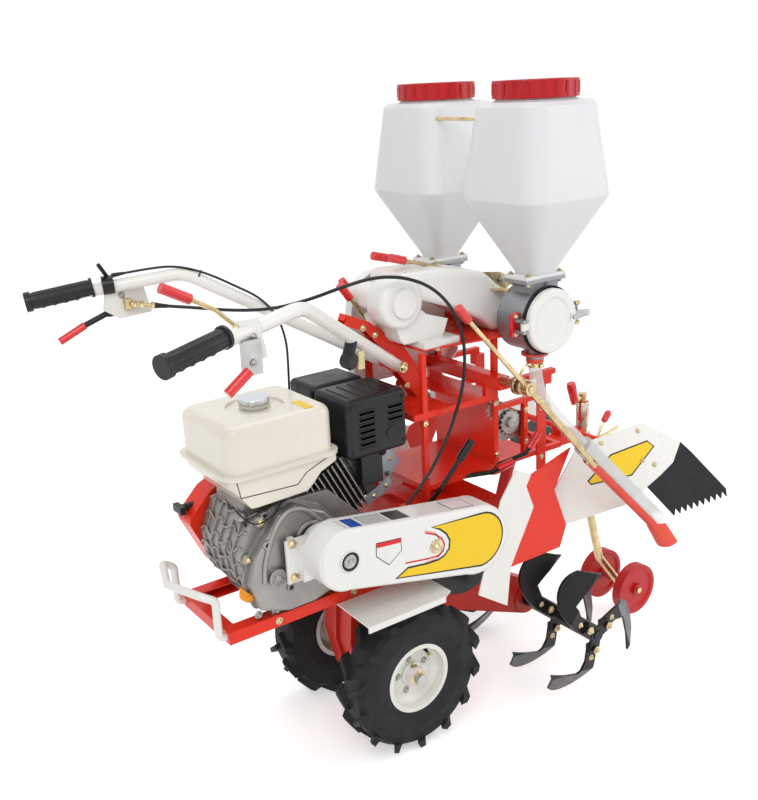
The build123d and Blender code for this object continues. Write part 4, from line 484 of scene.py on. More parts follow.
# Outline moved inward by a distance, for outlines that run one way round
def inset(outline, distance):
    moved = []
    count = len(outline)
    area = sum(a[0] * b[1] - b[0] * a[1] for a, b in zip(outline, outline[1:] + outline[:1]))
    way = 1 if area > 0 else -1
    for index, point in enumerate(outline):
        before, after = Vector(outline[index - 1]), Vector(outline[(index + 1) % count])
        here = Vector(point)
        first, second = (here - before).normalized(), (after - here).normalized()
        normal = Vector((-first[1], first[0])) + Vector((-second[1], second[0]))
        share = max(normal.length_squared / 2, 0.35)
        moved.append(tuple(here + normal * way * distance / share))
    return moved


# Cords and hoses: the same routes as the solids, each as one smooth curve
CLUTCH_ROUTE = (
    (-326, 250, 811), (-256, 225, 799), (-192, 160, 791), (-148, 75, 800), (-112, -10, 826),
    (-60, -60, 852),
    (-5, -88, 866), (52, -108, 860), (105, -125, 836), (148, -134, 792), (176, -136, 732), (184, -134, 672),
    (177, -132, 606), (152, -130, 540), (112, -130, 473), (64, -130, 420), (18, -130, 384))
THROTTLE_ROUTE = (
    (-398, 277, 881), (-340, 259, 887), (-278, 238, 889), (-222, 211, 869), (-170, 180, 836),
    (-134, 152, 812),
    (-112, 122, 775), (-104, 104, 722), (-107, 100, 662), (-109, 101, 602), (-110, 104, 544),
    (-110, 104, 486))
TUBE_TOP = (411, 256, 454)
TUBE_FOOT = (617, 296, 231)
HOSE_ROUTE = ((360, 159, 644), (360, 159, 588), (369, 186, 540), (386, 222, 498), TUBE_TOP)
CLUTCH_RADIUS = 3.5
THROTTLE_RADIUS = 2.5
HOSE_RADIUS = 15


def route_curve(name, route):
    curve = bpy.data.curves.new(name, "CURVE")
    curve.dimensions = "3D"
    curve.resolution_u = 12
    spline = curve.splines.new("NURBS")
    spline.points.add(len(route) - 1)
    for point, place in zip(spline.points, route):
        point.co = (*placed(place), 1)
    spline.order_u = 3
    spline.use_endpoint_u = True
    return curve


# Length of a route's curve in metres
def route_length(route):
    line = route_curve("line", route)
    holder = bpy.data.objects.new("line", line)
    read = bpy.data.meshes.new_from_object(holder)
    spots = [vertex.co.copy() for vertex in read.vertices]
    bpy.data.objects.remove(holder)
    bpy.data.curves.remove(line)
    bpy.data.meshes.remove(read)
    return sum((b - a).length for a, b in zip(spots, spots[1:]))


def add_cord(name, node, route, radius, slot):
    curve = route_curve(name, route)
    curve.bevel_depth = radius * MM
    curve.bevel_resolution = 6
    curve.use_fill_caps = True
    curve.materials.append(finish(slot))
    obj = bpy.data.objects.new(name, curve)
    bpy.context.scene.collection.objects.link(obj)
    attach(obj, "chassis")
    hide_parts(node)
    round(route_length(route), 4)


def add_cords():
    add_cord("clutch_cord", "gear_cable", CLUTCH_ROUTE, CLUTCH_RADIUS, "cable_black")
    add_cord("throttle_cord", "throttle_cable", THROTTLE_ROUTE, THROTTLE_RADIUS, "cable_black")
    for name, side in SIDES:
        route = [mirrored(side, point) for point in HOSE_ROUTE]
        add_cord(name + "_hose_cord", name + "_seed_hose", route, HOSE_RADIUS, "clear_tube")


# Belt cover: panel, stripe and patches, hub plug and bolt
COVER_FACE = -225.0
FILM = 0.35
HUB = Vector((-190, COVER_FACE, 362))
COVER_BOLT = Vector((20, COVER_FACE, 326))
COVER_RISE = (378 - 426) / 329
PANEL = ([(-86, 288), (141, 240)] + arc((141, 302), 62, -88, 88, 14) +
         [(8, 372), (30, 359), (46, 344), (54, 328), (52, 311), (40, 300), (24, 296), (-2, 297),
          (-53, 304)])
STRIPE = ((-6, 364), (20, 352), (36, 337), (42, 323), (38, 310), (24, 303), (-2, 305), (-58, 314))
THIN_STRIPE = ((-8.4, 369), (17.6, 357), (30, 337), (36, 323), (32, 304), (18, 297), (-8, 299))
SHIELD = ((-128, 380), (-67, 373), (-66, 345), (-99, 323), (-129, 351))
SHIELD_BAND = ((-126.4, 378.4), (-68.6, 371.8), (-68.6, 363), (-126.4, 369))
TOP_PATCHES = (
    ("top_patch_blue", "label_blue", -187, -148, -213, -170, 0.1),
    ("top_patch_grey", "label_grey", -142, -84, -212, -168, 0.1),
    ("top_patch_dark", "label_black", -78, -34, -212, -168, 0.1),
    ("top_patch_edge", "label_black", 72, 132, -213, -166, 0.1),
    ("top_patch_plain", "label_white", 74, 130, -211.5, -167.5, 0.3))


def side_outline(outline, y):
    return [(x, y, z) for x, z in outline]


def ribbon(line, half, y, piece):
    for a, b in zip(line, line[1:]):
        run = (Vector(b) - Vector(a)).normalized()
        side = Vector((-run[1], run[0])) * half
        start, end = Vector(a) - run * half / 2, Vector(b) + run * half / 2
        ends = [start + side, start - side, end - side, end + side]
        piece.slab([(p[0], y, p[1]) for p in ends], (0, -FILM, 0))


def cover_top(x):
    return 426 + (x - HUB.x) * COVER_RISE


def dress_belt_cover():
    black = Piece("cover_panel_edge", "black_plastic", "label_black")
    black.slab(side_outline(PANEL, COVER_FACE + 0.1), (0, -FILM, 0))
    black.slab(side_outline(SHIELD, COVER_FACE + 0.1), (0, -FILM, 0))
    yellow = Piece("cover_panel", "orange_plastic", "label_yellow")
    yellow.slab(side_outline(inset(PANEL, 4), COVER_FACE - 0.1), (0, -FILM, 0))
    red = Piece("cover_stripe", "knob_red", "label_red")
    ribbon(STRIPE, 1.8, COVER_FACE + 0.1, red)
    ribbon(THIN_STRIPE, 0.6, COVER_FACE + 0.1, red)
    red.slab(side_outline(SHIELD_BAND, COVER_FACE - 0.3), (0, -FILM, 0))
    white = Piece("cover_shield", "white_plastic", "label_white")
    white.slab(side_outline(inset(list(SHIELD), 1.6), COVER_FACE - 0.1), (0, -FILM, 0))
    # Patches along the top of the cover
    for name, look, x_low, x_high, y_low, y_high, rise in TOP_PATCHES:
        patch = Piece(name, "white_plastic", look)
        low_z, high_z = cover_top(x_low) + rise, cover_top(x_high) + rise
        patch.slab([(x_low, y_low, low_z), (x_high, y_low, high_z), (x_high, y_high, high_z),
                    (x_low, y_high, low_z)], (0, 0, FILM))
    ring = Piece("hub_ring", "black_plastic", "gasket")
    ring.turn(HUB - LEFT * 0.5, -LEFT, ((20, 0), (20, 2.4), (18, 3), (15, 3), (14.5, 1)), 40)
    plug = Piece("hub_plug", *STEEL_SCREW)
    plug.turn(HUB, -LEFT, ((15, 0), (15, 2), (13, 3.2), (9, 3.4), (8, 2.4), (5, 2.4), (4.5, 4.6), (0.1, 5)),
              40)
    bolt = Piece("cover_bolt", *GOLD_SCREW)
    bolt.turn(COVER_BOLT, -LEFT, ((15, -0.2), (15, 1.6), (14, 2.2), (9, 2.2)), 36)
    bolt.bolt(COVER_BOLT - LEFT * 2, -LEFT, 7.5)


# Engine: bolts, bosses, painted shade in the holes, ribs, wire, tank band and seam, plates and fin rims
ENGINE_FACE = -116.0
TANK_X = -247
CASE_BOLTS = ((-304, 432), (-337, 362), (-322, 268), (-262, 243), (-176, 240), (-132, 300))
CASE_BOSSES = ((-292, 440), (-306, 393), (-262, 288))
CASE_LUGS = ((-262, 466), (-330, 440))
FIN_LEAN = radians(28)
FIN_ROOT = Vector((-200, 0, 380))
FIN_START = 48
FIN_STEP = 12
FIN_COUNT = 9
FIN_LOW, FIN_HIGH = -66, 68
FIN_HALF = LEFT * 78


def dress_engine():
    gold = Piece("engine_bolts", *GOLD_SCREW)
    face = ENGINE_FACE
    for x, z in CASE_BOLTS:
        gold.bolt((x, -93, z), -LEFT, 6)
    for x, z in ((-262, 388), (-262, 316)):
        gold.bolt((x, -134, z), -LEFT, 6.5)
    grey = Piece("engine_bosses", "engine_alloy")
    for x, z in CASE_BOLTS:
        grey.turn((x, -84, z), -LEFT, ((13, 0), (12, 8), (10.5, 9.2), (9, 9.2)), 24)
    # Governor boss: rim, eight cross fins and a raised middle
    boss = Vector((-292, face - 8, 321))
    grey.turn(boss, -LEFT, ((19, -2), (19, 1.5), (17.5, 2.5), (15, 2.5), (14.5, 0)), 36)
    for spoke in spokes(8, AHEAD, UP, 0.2):
        grey.tube([boss + spoke * 6, boss + spoke * 16], 1.8, 8)
    grey.turn(boss, -LEFT, ((7, -1), (7, 2.5), (5.5, 3.5), (2, 3.5)), 24)
    # Arched swell of the side cover, and the seat round the crankshaft
    arch = eased([(-318, face, 316), (-316, face, 352), (-296, face, 406), (-270, face, 442),
                  (-243, face, 452), (-212, face, 440),
                  (-184, face, 408)])
    grey.tube(arch, 5.5, 12)
    grey.turn((-208, face + 1, 380), -LEFT, ((36, 0), (35, 4), (32, 6), (29, 6), (27, 1)), 44)
    # Stepped cross ribs over the front slope
    front = Skin("engine_crankcase")
    for height in (288, 318, 348, 378, 408, 438):
        steps = [(-520, -84 + step * 12, height + (5 if step % 4 < 2 else -5)) for step in range(15)]
        grey.tube([front.meet(step, AHEAD, 0.5) for step in steps], 3.0, 8)
    for x, z in CASE_BOSSES:
        grey.turn(front.meet((x, -200, z), LEFT), -LEFT, ((10, -1), (9, 3), (7.5, 4), (5.5, 4), (5, 2)), 20)
    # Two stepped lugs and a lifting eye on the crankcase's near shoulder
    for x, z in CASE_LUGS:
        grey.turn((x, -58, z), -LEFT, ((11, -10), (11, 8), (9, 10), (7, 10)), 20)
    # Black discs painted as the shade inside the bolt holes and the crankshaft seat of the casting
    hole_shade_discs = Piece("engine_hole_shade", "black_plastic", "hole_shade")
    for x, z in CASE_BOSSES:
        hole_shade_discs.turn(front.meet((x, -200, z), LEFT), -LEFT, ((5.4, 0), (5.4, 2.4)), 16)
    for y, z in ((-62, 300), (-44, 372), (-70, 424)):
        hole_shade_discs.turn(front.meet((-520, y, z), AHEAD), -AHEAD, ((5, -1), (5, 1.2), (4.6, 1.4)), 16)
    hole_shade_discs.turn((-208, face, 380), -LEFT, ((26.5, -0.5), (26.5, 0.8)), 36)
    steel = Piece("engine_studs", *STEEL_SCREW)
    for x, z in CASE_LUGS:
        steel.bolt((x, -68, z), -LEFT, 5)
    for x, z in ((-330, 244), (-84, 238), (-290, 240)):
        steel.bolt((x, -100, z), -LEFT, 6)
    steel.bolt((-240, -90, 470), -LEFT, 5)
    for x in (-286, -96):
        steel.bolt((x, -93, 244.5), UP, 6)
    # Thin wire that loops below the tank
    wire = Piece("engine_wire", "cable_black")
    wire.tube(eased([(-345, -60, 468), (-338, -92, 446), (-316, -100, 432), (-290, -100, 436),
                     (-262, -96, 452), (-250, -92, 472)]),
              1.5, 8)
    patch = Piece("tank_patch", "orange_plastic", "label_yellow")
    patch.slab([(-186, -92, 636.1), (-166, -92, 636.1), (-166, -36, 636.1), (-186, -36, 636.1)],
               (0, 0, 0.3))
    # Tank seam: thin steel band hanging below the flange
    seam = Piece("tank_band", "tank_ivory")
    half_x, half_y, corner = 127, 115, 31
    outline = []
    for cx, cy, turn in ((half_x - corner, half_y - corner, 0), (-half_x + corner, half_y - corner, 90),
                         (-half_x + corner, -half_y + corner, 180),
                         (half_x - corner, -half_y + corner, 270)):
        outline += [(TANK_X + x, y) for x, y in arc((cx, cy), corner, turn, turn + 90, 6)]
    loop = [(x, y, 541.5) for x, y in outline]
    seam.tube(loop + [loop[0]], 2.2, 8)
    # Dark seam that steps round the lower tank's near side
    tank = Skin("fuel_tank")
    line = Piece("tank_seam", "black_plastic", "gasket")
    corners = ((-352, 532), (-346, 498), (-222, 492), (-200, 512), (-152, 530))
    for a, b in zip(corners, corners[1:]):
        places = [Vector(a).lerp(Vector(b), index / 8) for index in range(9)]
        met = [tank.meet((x, -300, z), LEFT, 0.2) for x, z in places]
        line.tube([spot for spot in met if spot], 0.9, 6)
    # Blue-grey shield plates between the cylinder and the frame
    plates = Piece("engine_plates", "bracket_steel", "plate_blue")
    plates.slab([(-45, -70, 401), (-37, -70, 380), (29, -70, 411), (21, -70, 432)], (0, 3, 0))
    plates.slab([(4, -50, 480), (47, -50, 486), (66, -50, 450), (40, -50, 424), (26, -50, 424)], (0, 3, 0))
    plates.slab([(21, -70, 432), (29, -70, 411), (44, -48, 424), (36, -48, 436)], (0, 3, 0))
    plugs = Piece("plate_bolts", *GOLD_SCREW)
    for x, y, z in ((-20, -70, 399), (12, -70, 414), (40, -50, 462)):
        plugs.bolt((x, y, z), -LEFT, 4)
    # Bright rims of the cylinder's cooling fins
    along = AHEAD * cos(FIN_LEAN) + UP * sin(FIN_LEAN)
    rise = UP * cos(FIN_LEAN) - AHEAD * sin(FIN_LEAN)
    rims = Piece("fin_rims", "engine_alloy", "fin_edge")
    for index in range(FIN_COUNT):
        foot = FIN_ROOT + along * (FIN_START + index * FIN_STEP)
        near, far = foot + rise * FIN_LOW, foot + rise * FIN_HIGH
        rims.tube([near - FIN_HALF, far - FIN_HALF, far + FIN_HALF, near + FIN_HALF, near - FIN_HALF], 0.9,
                  6)
    # Spark plug cap and its lead at the cylinder head
    plug = Piece("plug_cap", "black_plastic", "grip_rubber")
    plug.tube(eased([(-22, -40, 500), (-10, -52, 508), (-4, -70, 506), (-4, -88, 496)], 2), [9, 9, 8, 8],
              16)


# Muffler guard: raised louvres, boss, rivets and the ribs on its top
LOUVRE_PITCH = 13


def dress_muffler():
    guard = Piece("muffler_louvres", "black_paint")
    for low, count, start, end in ((528, 7, -76, -36), (567, 4, -6, 34)):
        for index in range(count):
            z = low + index * LOUVRE_PITCH
            guard.tube([(start, -112.5, z), (end, -112.5, z)], 1.8, 8)
    guard.turn((6, -112, 546), -LEFT, ((16, 0), (16, 1.6), (14, 2), (13, 1)), 28)
    for z in (524, 618):
        for x in (-92, 34):
            guard.turn((x, -112, z), -LEFT, ((5, 0), (5, 1.6), (3.6, 2.6), (1, 2.8)), 14)
    for index in range(5):
        x = -84 + index * 26
        guard.tube([(x, -90, 634.3), (x, -8, 634.3)], 1.6, 8)


# Wheels: five bolts, valve, hub cap and axle nut on each
WHEEL_DISC = 150
WHEEL_BOLTS = 39


def dress_wheels():
    for name, side in SIDES:
        body = name + "_wheel"
        out = LEFT * side
        disc = side * WHEEL_DISC
        bolts = Piece(name + "_wheel_bolts", *STEEL_SCREW, body=body)
        for spoke in spokes(5, AHEAD, UP, 0.5):
            bolts.bolt(LEFT * disc + spoke * WHEEL_BOLTS, out, 5.5)
        ring = Piece(name + "_hub_ring", "rim_white", body=body)
        ring.turn((0, disc, 0), out, ((27, -0.5), (27, 4), (24, 6.5), (21.2, 6.5)), 36)
        gold = Piece(name + "_hub_insert", *GOLD_SCREW, body=body)
        gold.turn((0, side * 174.4, 0), out, ((18.5, 0), (18.5, 1.2), (16.5, 2.4), (12.3, 2.4)), 36)
        gold.turn((0, side * 160, 21), UP, ((7, -4), (7, 2), (5.4, 3), (3, 3), (3, 9), (2, 10)), 16)
        valve = Piece(name + "_valve", "black_plastic", "grip_rubber", body=body)
        foot = Vector((34, disc + side * 2, 52))
        tip = foot + Vector((-4, side * 26, -7))
        valve.tube([foot.lerp(tip, share) for share in (0, 0.35, 0.4, 1)], [5, 4.4, 3.4, 3.4], 14)
        cap = Piece(name + "_valve_cap", *GOLD_SCREW, body=body)
        cap.tube([foot.lerp(tip, share) for share in (0.7, 0.72, 1.1, 1.14)], [3, 4.2, 4.2, 2.6], 12)


# Rotor: bolt heads through the blade roots
ROTOR = Vector((465, 0, -35))
STATIONS = ((-250, 6), (-122, 6), (122, -26), (250, -54))


def dress_rotor():
    lowest = radians(90) + TILT
    heads = Piece("rotor_bolts", *STEEL_SCREW, body="rotor")
    nuts = Piece("rotor_nuts", *GOLD_SCREW, body="rotor")
    for place, lead in STATIONS:
        out = LEFT if place > 0 else -LEFT
        for spoke in spokes(3, AHEAD, -UP, lowest + radians(lead)):
            first, second = (ROTOR + LEFT * place + spoke * reach for reach in (37, 62))
            nuts.bolt(first + out * 16.5, out, 6.5)
            heads.bolt(first - out * 8.5, -out, 6.5)
            heads.bolt(second - out * 3, -out, 5)
            nuts.bolt(second + out * 3, out, 5)


# Hoppers: flange bolts, beads under the lids, lid crowns, drum gaskets, hinge and latch
HOPPER = (360, 159, 823)
DRUM_Z = 734
DRUM_RIM = 194
COVER_OUT = 211
LID_FOOT = 357


def dress_hoppers():
    for name, side in SIDES:
        x0, y0, z0 = mirrored(side, HOPPER)
        gold = Piece(name + "_flange_bolts", *GOLD_SCREW)
        for x in (-46, 46):
            for y in (-26, 26):
                gold.bolt((x0 + x, y0 + y, z0 + 8), UP, 5)
                gold.turn((x0 + x, y0 + y, z0 - 8), -UP, ((6, -1), (6, 5), (5, 6)), 6)
        bead = Piece(name + "_collar_bead", "hopper_white")
        bead.turn((x0, y0, z0 + LID_FOOT), UP, ((83, 0), (84.5, 1.5), (83, 3), (79, 3.4)), 72)
        crown = Piece(name + "_lid_crown", "lid_red", body=name + "_lid")
        top = z0 + LID_FOOT + 41
        crown.turn((x0, y0, top - 4.4), UP, ((66, 0), (66, 2.4), (60, 3.4), (20, 4.0), (19, 1.6),
                                             (0.5, 1.6)), 64)
        for spoke in spokes(24, AHEAD, LEFT):
            foot = Vector((x0, y0, top - 28)) + spoke * 86.2
            crown.tube([foot, foot + UP * 22], 1.8, 8)
        # Black ring between the drum and its cover, and a latch on the far side of the cover
        gasket = Piece(name + "_gasket", "black_plastic", "gasket")
        gasket.turn((x0, side * DRUM_RIM, DRUM_Z), LEFT * side,
                    ((72.6, 0), (73.4, 1), (73.4, 6), (72.4, 7), (68, 7)), 72)
        latch = Piece(name + "_latch", "bracket_steel", body=name + "_cover")
        face = side * COVER_OUT
        plate = ((50, -10), (84, -7), (84, 7), (50, 10))
        tongue = ((56, -4), (104, -4), (104, 4), (56, 4))
        latch.slab([(x0 + x, face, DRUM_Z + z) for x, z in plate], (0, side * 4, 0))
        latch.slab([(x0 + x, face, DRUM_Z + z) for x, z in tongue], (0, side * 8, 0))
        clasp = Piece(name + "_clasp", "bracket_steel")
        pivot = Vector((x0 + 92, side * 192, DRUM_Z))
        clasp.tube([(x0 + 66, side * 184, DRUM_Z), pivot, (x0 + 122, side * 200, DRUM_Z)], [7, 6, 4], 12)
        clasp.tube([pivot - UP * 22, pivot + UP * 22], 3.2, 12)
        knobs = Piece(name + "_clasp_knobs", *GOLD_SCREW)
        for rise in (-1, 1):
            knobs.turn(pivot + UP * 18 * rise, UP * rise, ((6, -1), (8, 1), (8, 6), (6, 8), (3, 8.5)), 20)
            knobs.bolt((x0 - 80, side * 186, DRUM_Z + 18 * rise), LEFT * side, 4.5)
        # Red hinge plate on the drum's rear edge
        tab = Piece(name + "_hinge_tab", "knob_red")
        plate = ((-90, -24), (-66, -26), (-66, 26), (-90, 24))
        tab.slab([(x0 + x, side * 176, DRUM_Z + z) for x, z in plate], (0, side * 9, 0))
        # Red outlet collar with its clamp
        collar = Piece(name + "_outlet_collar", "spout_red")
        collar.turn((x0, y0, 651), -UP, ((30, -6), (30, -1), (28, 0), (21.5, 0)), 40)
        collar.turn((x0, y0, 650), -UP, ((19.5, -2), (19.5, 14), (18, 16), (15.2, 16)), 40)
        clamp = Piece(name + "_hose_clamp", *GOLD_SCREW)
        clamp.turn((x0, y0, 634), -UP, ((17.4, 0), (18, 0.6), (18, 8.4), (17.4, 9)), 40)
        clamp.turn((x0 - 6, y0 + side * 19, 629), AHEAD, ((4, 0), (4, 12), (3, 13)), 12)


# Linkage between the two drums: cross rod, clevis, nuts and a folded plate
def dress_linkage():
    gold = Piece("drum_linkage", "zinc_gold")
    gold.tube([(318, 126, 822), (302, 60, 822), (292, -60, 818)], 5, 14)
    gold.slab([(288, -60, 830), (348, -60, 822), (392, -60, 800), (362, -60, 780), (300, -60, 790)],
              (0, -3.5, 0))
    gold.slab([(300, -62, 790), (362, -62, 780), (362, -126, 786), (316, -126, 792)], (0, 0, 3.5))
    nuts = Piece("linkage_nuts", *STEEL_SCREW)
    for y in (-44, -24, 36, 80):
        nuts.turn((296, y, 819), LEFT, ((7, 0), (10, 1.5), (10, 9), (7, 10.5)), 6)
    nuts.bolt((348, -64, 806), -LEFT, 6)
    nuts.bolt((306, -64, 812), -LEFT, 6)


# Depth mast: bright sleeve, red crank knob and a clamp handle at its foot
MAST_X = 682


def dress_mast():
    sleeve = Piece("mast_sleeve", "bracket_steel", "mast_chrome")
    sleeve.turn((MAST_X, 0, 332), UP, ((15.3, 0), (16.6, 1), (16.6, 98), (15.2, 101)), 40)
    knob = Piece("crank_knob", "knob_red", body="gauge_post")
    low, high = Vector((653, 0, 438)), Vector((638, 0, 492))
    line = [low.lerp(high, share) for share in (0, 0.04, 0.3, 0.85, 0.97, 1)]
    knob.tube(line, [9.3, 10.2, 11, 12, 10.5, 7], 20)
    clamp = Piece("mast_clamp", "zinc_gold")
    clamp.turn((MAST_X, 0, 338), UP, ((15, 0), (20, 1), (20, 13), (15, 14)), 32)
    clamp.tube([(MAST_X, -14, 345), (674, -60, 352)], 5, 12)
    clamp.tube([(668, -60, 350), (706, -60, 356), (748, -60, 364)], [5, 4, 4], 12)
    clamp.tube([(672, -60, 352), (684, -60, 376), (700, -60, 396)], 3.2, 10)
    grip = Piece("clamp_knob", "knob_red")
    grip.tube([(694, -60, 390), (696, -60, 393), (710, -60, 410), (714, -60, 415)], [5, 8, 9, 5], 16)


# Chain drive behind the near frame posts: two toothed wheels, their plates and a chain run
def dress_chain():
    steel = Piece("chain_wheels", *STEEL_SCREW)
    for x, z, radius, teeth in ((300, 524, 24, 12), (346, 482, 30, 16)):
        web, boss = radius - 3, radius * 0.4
        steel.turn((x, -92, z), -LEFT, ((web, 0), (web, 4), (boss, 4), (boss, 10), (5, 10)), 36)
        for spoke in spokes(teeth, AHEAD, UP):
            foot = Vector((x, -94, z)) + spoke * (radius - 5)
            steel.tube([foot, foot + spoke * 7], [2.6, 1.4], 6)
    steel.slab([(292, -90, 440), (386, -90, 440), (386, -90, 500), (340, -90, 512), (292, -90, 545)],
               (0, 3, 0))


# Clear tube's cuffs, clamps and arm bolts
def dress_seed_tubes():
    for name, side in SIDES:
        gold = Piece(name + "_arm_bolts", *GOLD_SCREW)
        for x, y, z in ((271, 242, 609), (300, 240, 575), (416, 268, 420)):
            gold.bolt(mirrored(side, (x, y, z)), LEFT * side, 5.5)
        # Thumb screw and coil of the clamp on the cross bar
        gold.turn(mirrored(side, (271, 196, 609)), LEFT * side, ((19, 0), (20, 2), (20, 8), (19, 10)), 28)
        gold.turn(mirrored(side, (271, 214, 609)), LEFT * side, ((17, 0), (18, 1.5), (18, 6), (17, 7.5)),
                  28)
        coil = ((271, 204, 622), (276, 206, 640), (288, 208, 652), (300, 208, 650))
        gold.tube(eased([mirrored(side, point) for point in coil]), 3, 10)
        cuff = Piece(name + "_tube_cuff", "clear_tube")
        top, foot = Vector(mirrored(side, TUBE_TOP)), Vector(mirrored(side, TUBE_FOOT))
        along = (foot - top).normalized()
        cuff.turn(top, along, ((22.4, -2), (22.8, 2), (22.8, 26), (21.4, 28)), 40)


# Red trough below each clear tube, opening into a flared spout
SPOUT_THICK = 3


def dress_spouts():
    spouts = Piece("seed_spout_shells", "spout_red", replaces=("seed_spouts",))
    for side in (-1, 1):
        top, foot = Vector(mirrored(side, TUBE_TOP)), Vector(mirrored(side, TUBE_FOOT))
        along = (foot - top).normalized()
        down = (along * along.z - UP).normalized()
        across = along.cross(down)
        fall = (along * 50 - UP * 20).normalized()
        sections = [(top.lerp(foot, 0.12), along, 25, 1.0, 62), (top.lerp(foot, 0.99), along, 25, 1.0, 62),
                    (foot + fall * 8, fall, 26, 1.05, 100), (foot + fall * 70, fall, 31, 0.9, 104)]
        rings = []
        for centre, way, radius, flat, reach in sections:
            under = (down - way * down.dot(way)).normalized()
            turns = [radians(-reach + 2 * reach * index / 20) for index in range(21)]
            curl = [under * cos(turn) * flat + across * sin(turn) for turn in turns]
            rings.append([centre + away * radius for away in curl] +
                         [centre + away * (radius - SPOUT_THICK) for away in reversed(curl)])
        spouts.loft(rings)


# Wings: blank panels with black edges
WING_ANCHOR = (600, -190, 370)
WING_PANEL = [(577, 371), (690, 381), (706, 364), (618, 315), (500, 318), (492, 328)]
WING_LEAN = 0.45
WING_FLARE = -0.15
WING_THICK = 3


def wing_place(side, x, z, out):
    lean, flare = WING_LEAN * (z - WING_ANCHOR[2]), WING_FLARE * (x - WING_ANCHOR[0])
    y = WING_ANCHOR[1] + lean + flare - WING_THICK - out
    return (x, -side * y, z)


def dress_wings():
    for name, side in SIDES:
        edge = Piece(name + "_wing_panel_edge", "black_plastic", "label_black")
        edge.slab([wing_place(side, x, z, -0.1) for x, z in WING_PANEL], (0, side * FILM, 0))
        face = Piece(name + "_wing_panel", "orange_plastic", "label_yellow")
        face.slab([wing_place(side, x, z, 0.15) for x, z in inset(WING_PANEL, 3)], (0, side * FILM, 0))
        bolts = Piece(name + "_wing_bolts", *GOLD_SCREW)
        for x, z in ((660, 340), (690, 325), (672, 405), (560, 398)):
            bolts.bolt(wing_place(side, x, z, 0), LEFT * side, 4.5)


# Frame and bracket bolts, handle fittings
def dress_frame():
    gold = Piece("frame_bolts", *GOLD_SCREW)
    for side in (-1, 1):
        out = LEFT * side
        for x, z in ((98, 420), (98, 540), (296, 420), (296, 540), (386, 430), (386, 505), (432, 380),
                     (432, 500), (432, 560)):
            gold.bolt((x, side * (104 if x < 418 else 107), z), out, 4.5)
        gold.bolt((85, side * 49, 655), out, 8)
        for x, z in ((10, 748), (40, 728), (118, 600)):
            gold.bolt((x, side * 16, z), out, 5)
        for x in (-290, -110):
            gold.bolt((x, side * 108, 219), out, 5.5)
        for x in (130, 380):
            gold.bolt((x, side * 110, 696), UP, 4.5)
    red = Piece("frame_nubs", "red_paint")
    for side in (-1, 1):
        red.turn((280, side * 150, 600), LEFT * side, ((9, 0), (9, 7), (7, 9)), 20)
    cover = Piece("switch_body", "black_plastic")
    cover.turn((-112, -143, 728), Vector((0.3, -0.9, -0.2)),
               ((15, -12), (17, -8), (17, 8), (14, 12), (8, 13)), 28)
    clip = Piece("handle_clip", "zinc_gold")
    clip.slab([(-92, -146, 742), (-78, -146, 742), (-78, -146, 706), (-92, -146, 706)], (0, 2.4, 0))


GRIP_INNER = (-437, 288, 861)
GRIP_OUTER = (-559, 325, 845)


def dress_handles():
    for name, side in SIDES:
        inner, outer = Vector(mirrored(side, GRIP_INNER)), Vector(mirrored(side, GRIP_OUTER))
        along = (outer - inner).normalized()
        ribs = Piece(name + "_grip_ribs", "grip_rubber")
        for index in range(4):
            centre = inner.lerp(outer, 0.28 + 0.17 * index)
            ribs.turn(centre - UP * 2.6 - along * 8, along,
                      ((12, 0), (15.2, 4), (16.4, 8), (15.2, 12), (12, 16)), 24)
        across = along.cross(UP).normalized()
        for spoke in spokes(14, across, along.cross(across)):
            ribs.tube([inner + along * 10 + spoke * 16.3, outer - along * 12 + spoke * 16.3], 0.9, 6)
    bolts = Piece("handle_bolts", *STEEL_SCREW)
    for place, half in (((-384, 278, 838), 5), ((-374, 278, 812), 5), ((-396, -299, 812), 4.5),
                        ((-386, -285, 852), 4.5)):
        bolts.bolt(place, -LEFT, half)
    nut = Piece("adjuster_nuts", *GOLD_SCREW)
    start, onward = Vector(CLUTCH_ROUTE[0]), Vector(CLUTCH_ROUTE[1])
    along = (onward - start).normalized()
    for back, size in ((44, 8), (30, 9), (8, 8)):
        nut.turn(start - along * back, along, ((size * 0.85, 0), (size, 1), (size, 7), (size * 0.85, 8)), 6)
    boots = Piece("cable_boots", "cable_black")
    boots.tube([start + along * 26, start + along * 12, start, start - along * 4], [4, 5, 6.4, 6.4], 14)
    lead, lead_on = Vector(THROTTLE_ROUTE[0]), Vector(THROTTLE_ROUTE[1])
    way = (lead_on - lead).normalized()
    boots.tube([lead + way * 24, lead + way * 10, lead - way * 2], [3, 4, 5], 14)
    tie = Piece("cable_tie", "cable_black")
    tie.turn((-232, 224, 858), Vector((-0.75, 0.45, 0.35)), ((17, 0), (17, 3)), 28)


# Area lamps, in metres and watts: name, place, size and power
LAMPS = (
    ("key", (-2.4, -2.6, 3.6), (2.4, 2.4), 66),
    ("side", (2.6, -2.2, 2.2), (2.0, 2.4), 26),
    ("top", (0.4, 1.2, 4.0), (2.6, 2.6), 30))
LAMP_TARGET = Vector((0, 0, 0.6))


def add_lamps():
    for name, place, size, power in LAMPS:
        data = bpy.data.lights.new(name, "AREA")
        data.shape = "RECTANGLE"
        data.size, data.size_y = size
        data.energy = power
        lamp = bpy.data.objects.new(name, data)
        bpy.context.scene.collection.objects.link(lamp)
        turn = (LAMP_TARGET - Vector(place)).to_track_quat("-Z", "Y")
        lamp.matrix_world = Matrix.Translation(place) @ turn.to_matrix().to_4x4()


# White background for the camera, reflections and clear pieces only; the light on the object stays plain
WORLD_LIGHT = 0.6
FLOOR_GLOW = 0.44
FLOOR_REACH = 14.0
FLOOR_COLOR = (0.96, 0.96, 0.96, 1)
FLOOR_ROUGH = 0.8


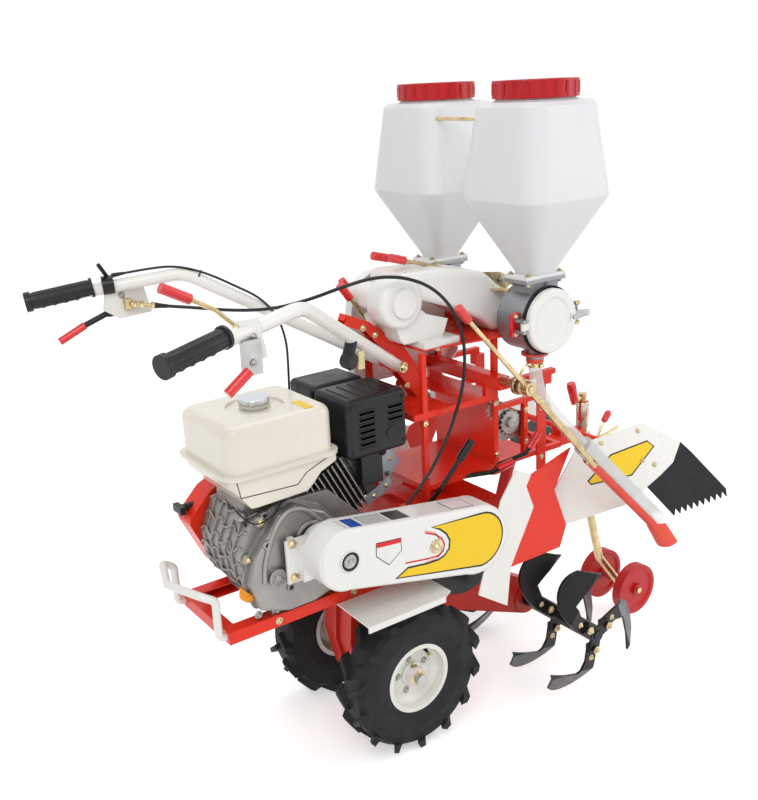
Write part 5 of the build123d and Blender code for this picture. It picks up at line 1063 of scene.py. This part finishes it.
def seen_directly(tree):
    path = tree.nodes.new("ShaderNodeLightPath")
    first = tree.nodes.new("ShaderNodeMath")
    first.operation = "MAXIMUM"
    tree.links.new(path.outputs["Is Camera Ray"], first.inputs[0])
    tree.links.new(path.outputs["Is Glossy Ray"], first.inputs[1])
    second = tree.nodes.new("ShaderNodeMath")
    second.operation = "MAXIMUM"
    tree.links.new(first.outputs[0], second.inputs[0])
    tree.links.new(path.outputs["Is Transmission Ray"], second.inputs[1])
    return second.outputs[0]


def add_stage():
    bpy.context.scene.view_settings.view_transform = "Standard"
    world = bpy.data.worlds.new("world")
    bpy.context.scene.world = world
    world.use_nodes = True
    tree = world.node_tree
    back = tree.nodes["Background"]
    back.inputs[0].default_value = (1, 1, 1, 1)
    strength = tree.nodes.new("ShaderNodeMapRange")
    strength.inputs["To Min"].default_value = WORLD_LIGHT
    strength.inputs["To Max"].default_value = 1.0
    tree.links.new(seen_directly(tree), strength.inputs["Value"])
    tree.links.new(strength.outputs["Result"], back.inputs[1])
    mesh = bpy.data.meshes.new("floor")
    corners = [(x * FLOOR_REACH, y * FLOOR_REACH, 0) for x, y in ((-1, -1), (1, -1), (1, 1), (-1, 1))]
    mesh.from_pydata(corners, [], [(0, 1, 2, 3)])
    floor = bpy.data.objects.new("floor", mesh)
    bpy.context.scene.collection.objects.link(floor)
    material = bpy.data.materials.new("floor")
    material.use_nodes = True
    tree = material.node_tree
    shader = tree.nodes["Principled BSDF"]
    shader.inputs["Base Color"].default_value = FLOOR_COLOR
    shader.inputs["Roughness"].default_value = FLOOR_ROUGH
    glow = tree.nodes.new("ShaderNodeMath")
    glow.operation = "MULTIPLY"
    glow.inputs[1].default_value = FLOOR_GLOW
    tree.links.new(seen_directly(tree), glow.inputs[0])
    shader.inputs["Emission Color"].default_value = (1, 1, 1, 1)
    tree.links.new(glow.outputs[0], shader.inputs["Emission Strength"])
    mesh.materials.append(material)


add_camera()
add_cords()
add_stage()
add_lamps()
finish_nodes()
dress_belt_cover()
dress_engine()
dress_muffler()
dress_wheels()
dress_rotor()
dress_hoppers()
dress_linkage()
dress_mast()
dress_chain()
dress_seed_tubes()
dress_spouts()
dress_wings()
dress_frame()
dress_handles()
for piece in PIECES:
    piece.build()
